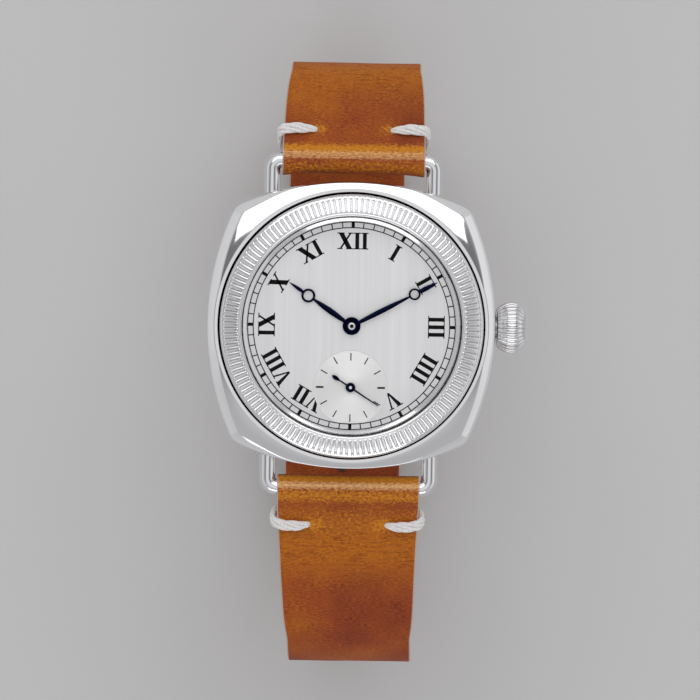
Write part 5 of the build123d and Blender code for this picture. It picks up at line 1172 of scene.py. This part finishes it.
LOOPS = {
    "top": [
        (4.5, 24.35, 1.7), (4.6, 24.35, 2.75), (5.8, 24.47, 3.05), (7.4, 24.55, 3.1),
        (8.8, 24.4, 3.0), (9.3, 24.05, 2.2), (9.25, 23.5, 1.5), (9.15, 22.75, 0.9),
        (8.8, 22.1, 0.4), (8.0, 22.1, 0.2), (6.0, 23.3, 0.2), (4.7, 24.5, 0.7),
    ],
    "bottom": [
        (4.6, -25.1, 1.5), (4.7, -25.15, 2.6), (6.0, -25.35, 2.95), (7.6, -25.35, 2.95),
        (8.8, -25.15, 2.8), (9.35, -24.8, 2.1), (9.35, -24.4, 1.5), (9.25, -23.95, 0.9),
        (8.9, -23.6, 0.3), (8.0, -23.7, 0.1), (6.0, -24.4, 0.1), (4.7, -25.0, 0.6),
    ],
}
for side, hand in ((-1, "left"), (1, "right")):
    for end, corners in LOOPS.items():
        loop = [(side * x, y, z) for x, y, z in corners]
        thread_loop(f"thread_{end}_{hand}", loop, f"stitch_{end}_{hand}")

# %% [markdown]
# ## Keepers
# The two keepers are loops of the same leather round both layers of the strap. Their section is swept
# round a rounded rectangle, with soft edges.

# %% Leather loops
KEEPER_LOW, KEEPER_HIGH = -39.73, -36.07
KEEPER_HALF = 7.98
KEEPER_LIFT = 0.45
KEEPER_CORNER = 0.9
KEEPER_STEP = 0.45
KEEPER_SECTION = section_points(2.5, 0.4, 6)


def keeper(name, y, body, node):
    """A leather loop round the strap at a place along it."""
    half, low, high = KEEPER_HALF + KEEPER_LIFT, KEEPER_LOW - KEEPER_LIFT, KEEPER_HIGH + KEEPER_LIFT
    corners = [(0.0, low), (half, low), (half, high), (-half, high), (-half, low), (0.0, low)]
    line = evenly(rounded_path(corners, [KEEPER_CORNER] * 4, 0.1), KEEPER_STEP)
    count = len(line) - 1
    bm, uv, layers, cells = leather_grid(len(KEEPER_SECTION) - 1, count)
    flat = {}
    for vert, column, row in cells:
        along = (line[(row + 1) % count] - line[(row - 1) % count]).normalized()
        across, thick, cut = KEEPER_SECTION[column]
        spot = line[row] + Vector((along.y, -along.x)) * thick
        flat[vert.index] = ((across + y) / UV_SPAN, row * KEEPER_STEP / UV_SPAN)
        vert[layers[-1]] = cut
        vert.co = (spot.x, y + across, spot.y)
    lay_map(bm, uv, flat)
    finish_piece(bm, name, body, leather, [node], 60)


keeper("keeper_loop_fixed", 5.9, "watch_head", "fixed_keeper")
keeper("keeper_loop_free", 12.0, "loose_keeper_body", "loose_keeper")

# %% [markdown]
# ## The solids that stay
# Everything inside the case, the back, the seals and the buckle keep their solids. They only get the
# finish of the real thing: grained nickel for the plates, gilt for the wheels, blued or plain steel for
# screws and springs, ruby for the jewels.

# %% Finishes for the solids
FINISHES = {
    "satin_steel": ["case_back", "crown_tube"],
    "seal_rubber": ["case_back_gasket", "crystal_gasket", "crown_gasket"],
    "plate_nickel": [
        "movement_ring", "main_plate", "barrel_bridge", "train_bridge", "balance_cock", "pallet_cock",
    ],
    "wheel_brass": [
        "barrel_drum", "barrel_cover", "centre_wheel", "third_wheel", "fourth_wheel", "balance_wheel",
        "minute_wheel", "hour_wheel",
    ],
    "ruby": ["train_jewels"],
    "brushed_silver": ["dial"],
    "buckle_steel": ["spring_bar", "buckle_frame", "buckle_tongue"],
    "blued_steel": ["bridge_screws", "clamp_screws", "ratchet_screw", "crown_wheel_screw"],
}
finish_of = {node: name for name, members in FINISHES.items() for node in members}
for node, solid in nodes.items():
    solid.data.materials.clear()
    solid.data.materials.append(bpy.data.materials[finish_of.get(node, "tool_steel")])
print("solids with a finish:", len(nodes))

# %% [markdown]
# ## The studio
# The watch stands dial up on a pale table. One strong panel hangs behind twelve o'clock, three faint ones
# stand round the other sides, and the room itself is a soft grey that changes with height. Polished steel
# shows that room, so a darker belt high up draws the dark facets of the case, and it is left out towards
# six o'clock, where the steel stays light.

# %% Table, light and camera
TABLE_Z = -0.04068
table = bmesh.new()
bmesh.ops.create_grid(table, x_segments=1, y_segments=1, size=1.5)
bmesh.ops.translate(table, vec=(0, 0, TABLE_Z), verts=table.verts)
table_mesh = bpy.data.meshes.new("table_top")
table.to_mesh(table_mesh)
table.free()
table_top = bpy.data.objects.new("table_top", table_mesh)
bpy.context.scene.collection.objects.link(table_top)
paper, _, _ = new_material("pale_table", (0.62, 0.62, 0.62), 0.85)
table_mesh.materials.append(paper)


def greys(stops):
    """Cool greys at their places."""
    return [(place, (level, level, level + 0.01)) for place, level in stops]


world = bpy.data.worlds.new("room")
bpy.context.scene.world = world
world.use_nodes = True
room_tree = world.node_tree
room_way = add_node(room_tree, "ShaderNodeTexCoord").outputs["Generated"]
room_split = add_node(room_tree, "ShaderNodeSeparateXYZ", {"Vector": room_way})
room_sides = ramp(room_tree, room_split.outputs["Z"], greys([
    (0.0, 0.40), (0.12, 0.66), (0.42, 0.70), (0.62, 0.42), (0.74, 0.50),
    (0.80, 0.20), (0.87, 0.20), (0.95, 0.66), (1.0, 0.82),
]))
room_front = ramp(room_tree, room_split.outputs["Z"], greys([
    (0.0, 0.40), (0.15, 0.62), (0.80, 0.50), (1.0, 0.82),
]))
towards_front = add_node(
    room_tree,
    "ShaderNodeMapRange",
    {"Value": room_split.outputs["Y"], "From Min": -0.10, "From Max": -0.40},
    interpolation_type="SMOOTHSTEP",
)
room_shade = add_node(room_tree, "ShaderNodeMix", {"Factor": towards_front.outputs[0]}, data_type="RGBA")
room_tree.links.new(room_sides.outputs[0], room_shade.inputs[6])
room_tree.links.new(room_front.outputs[0], room_shade.inputs[7])
room_tree.links.new(room_shade.outputs[2], room_tree.nodes["Background"].inputs["Color"])
room_tree.nodes["Background"].inputs["Strength"].default_value = 1.0

PANELS = {
    # place, size and power
    "top_panel": ((0.0, 0.42, 0.56), (0.82, 0.42), 1.65),
    "right_panel": ((0.60, 0.0, 0.30), (0.90, 0.36), 0.20),
    "left_panel": ((-0.60, -0.02, 0.30), (0.90, 0.36), 0.06),
    "bottom_panel": ((-0.04, -0.52, 0.34), (0.6, 0.2), 0.5),
}
for name, (place, size, power) in PANELS.items():
    lamp = bpy.data.lights.new(name, "AREA")
    lamp.shape = "RECTANGLE"
    lamp.size, lamp.size_y = size
    lamp.energy = power
    holder = bpy.data.objects.new(name, lamp)
    holder.location = place
    holder.rotation_euler = (Vector() - Vector(place)).to_track_quat("-Z", "Y").to_euler()
    bpy.context.scene.collection.objects.link(holder)

SENSOR = 36
PICTURE_PIXELS = 700
CAMERA_AWAY = 0.450
SEEN_WIDTH = 0.08692
SHIFT_PIXELS = (-1.5, -24.1)
LEFT_TILT, UP_TILT, ROLL = math.radians(1.2), math.radians(2.2), math.radians(1.0)
dial_centre = Vector((0, 0, 0.0068))
camera_data = bpy.data.cameras.new("camera")
camera_data.sensor_width = SENSOR
camera_data.lens = SENSOR * CAMERA_AWAY / SEEN_WIDTH
camera_data.shift_x, camera_data.shift_y = [pixels / PICTURE_PIXELS for pixels in SHIFT_PIXELS]
camera = bpy.data.objects.new("camera", camera_data)
height = math.cos(LEFT_TILT) * math.cos(UP_TILT)
toward = Vector((-math.sin(LEFT_TILT), math.sin(UP_TILT), height)).normalized()
across = Vector((0, 1, 0)).cross(toward).normalized()
upright = Matrix((across, toward.cross(across), toward)).transposed().to_4x4()
camera.matrix_world = (
    Matrix.Translation(dial_centre + toward * CAMERA_AWAY) @ upright @ Matrix.Rotation(ROLL, 4, "Z")
)
bpy.context.scene.collection.objects.link(camera)
bpy.context.scene.camera = camera
bpy.context.scene.view_settings.view_transform = "Standard"
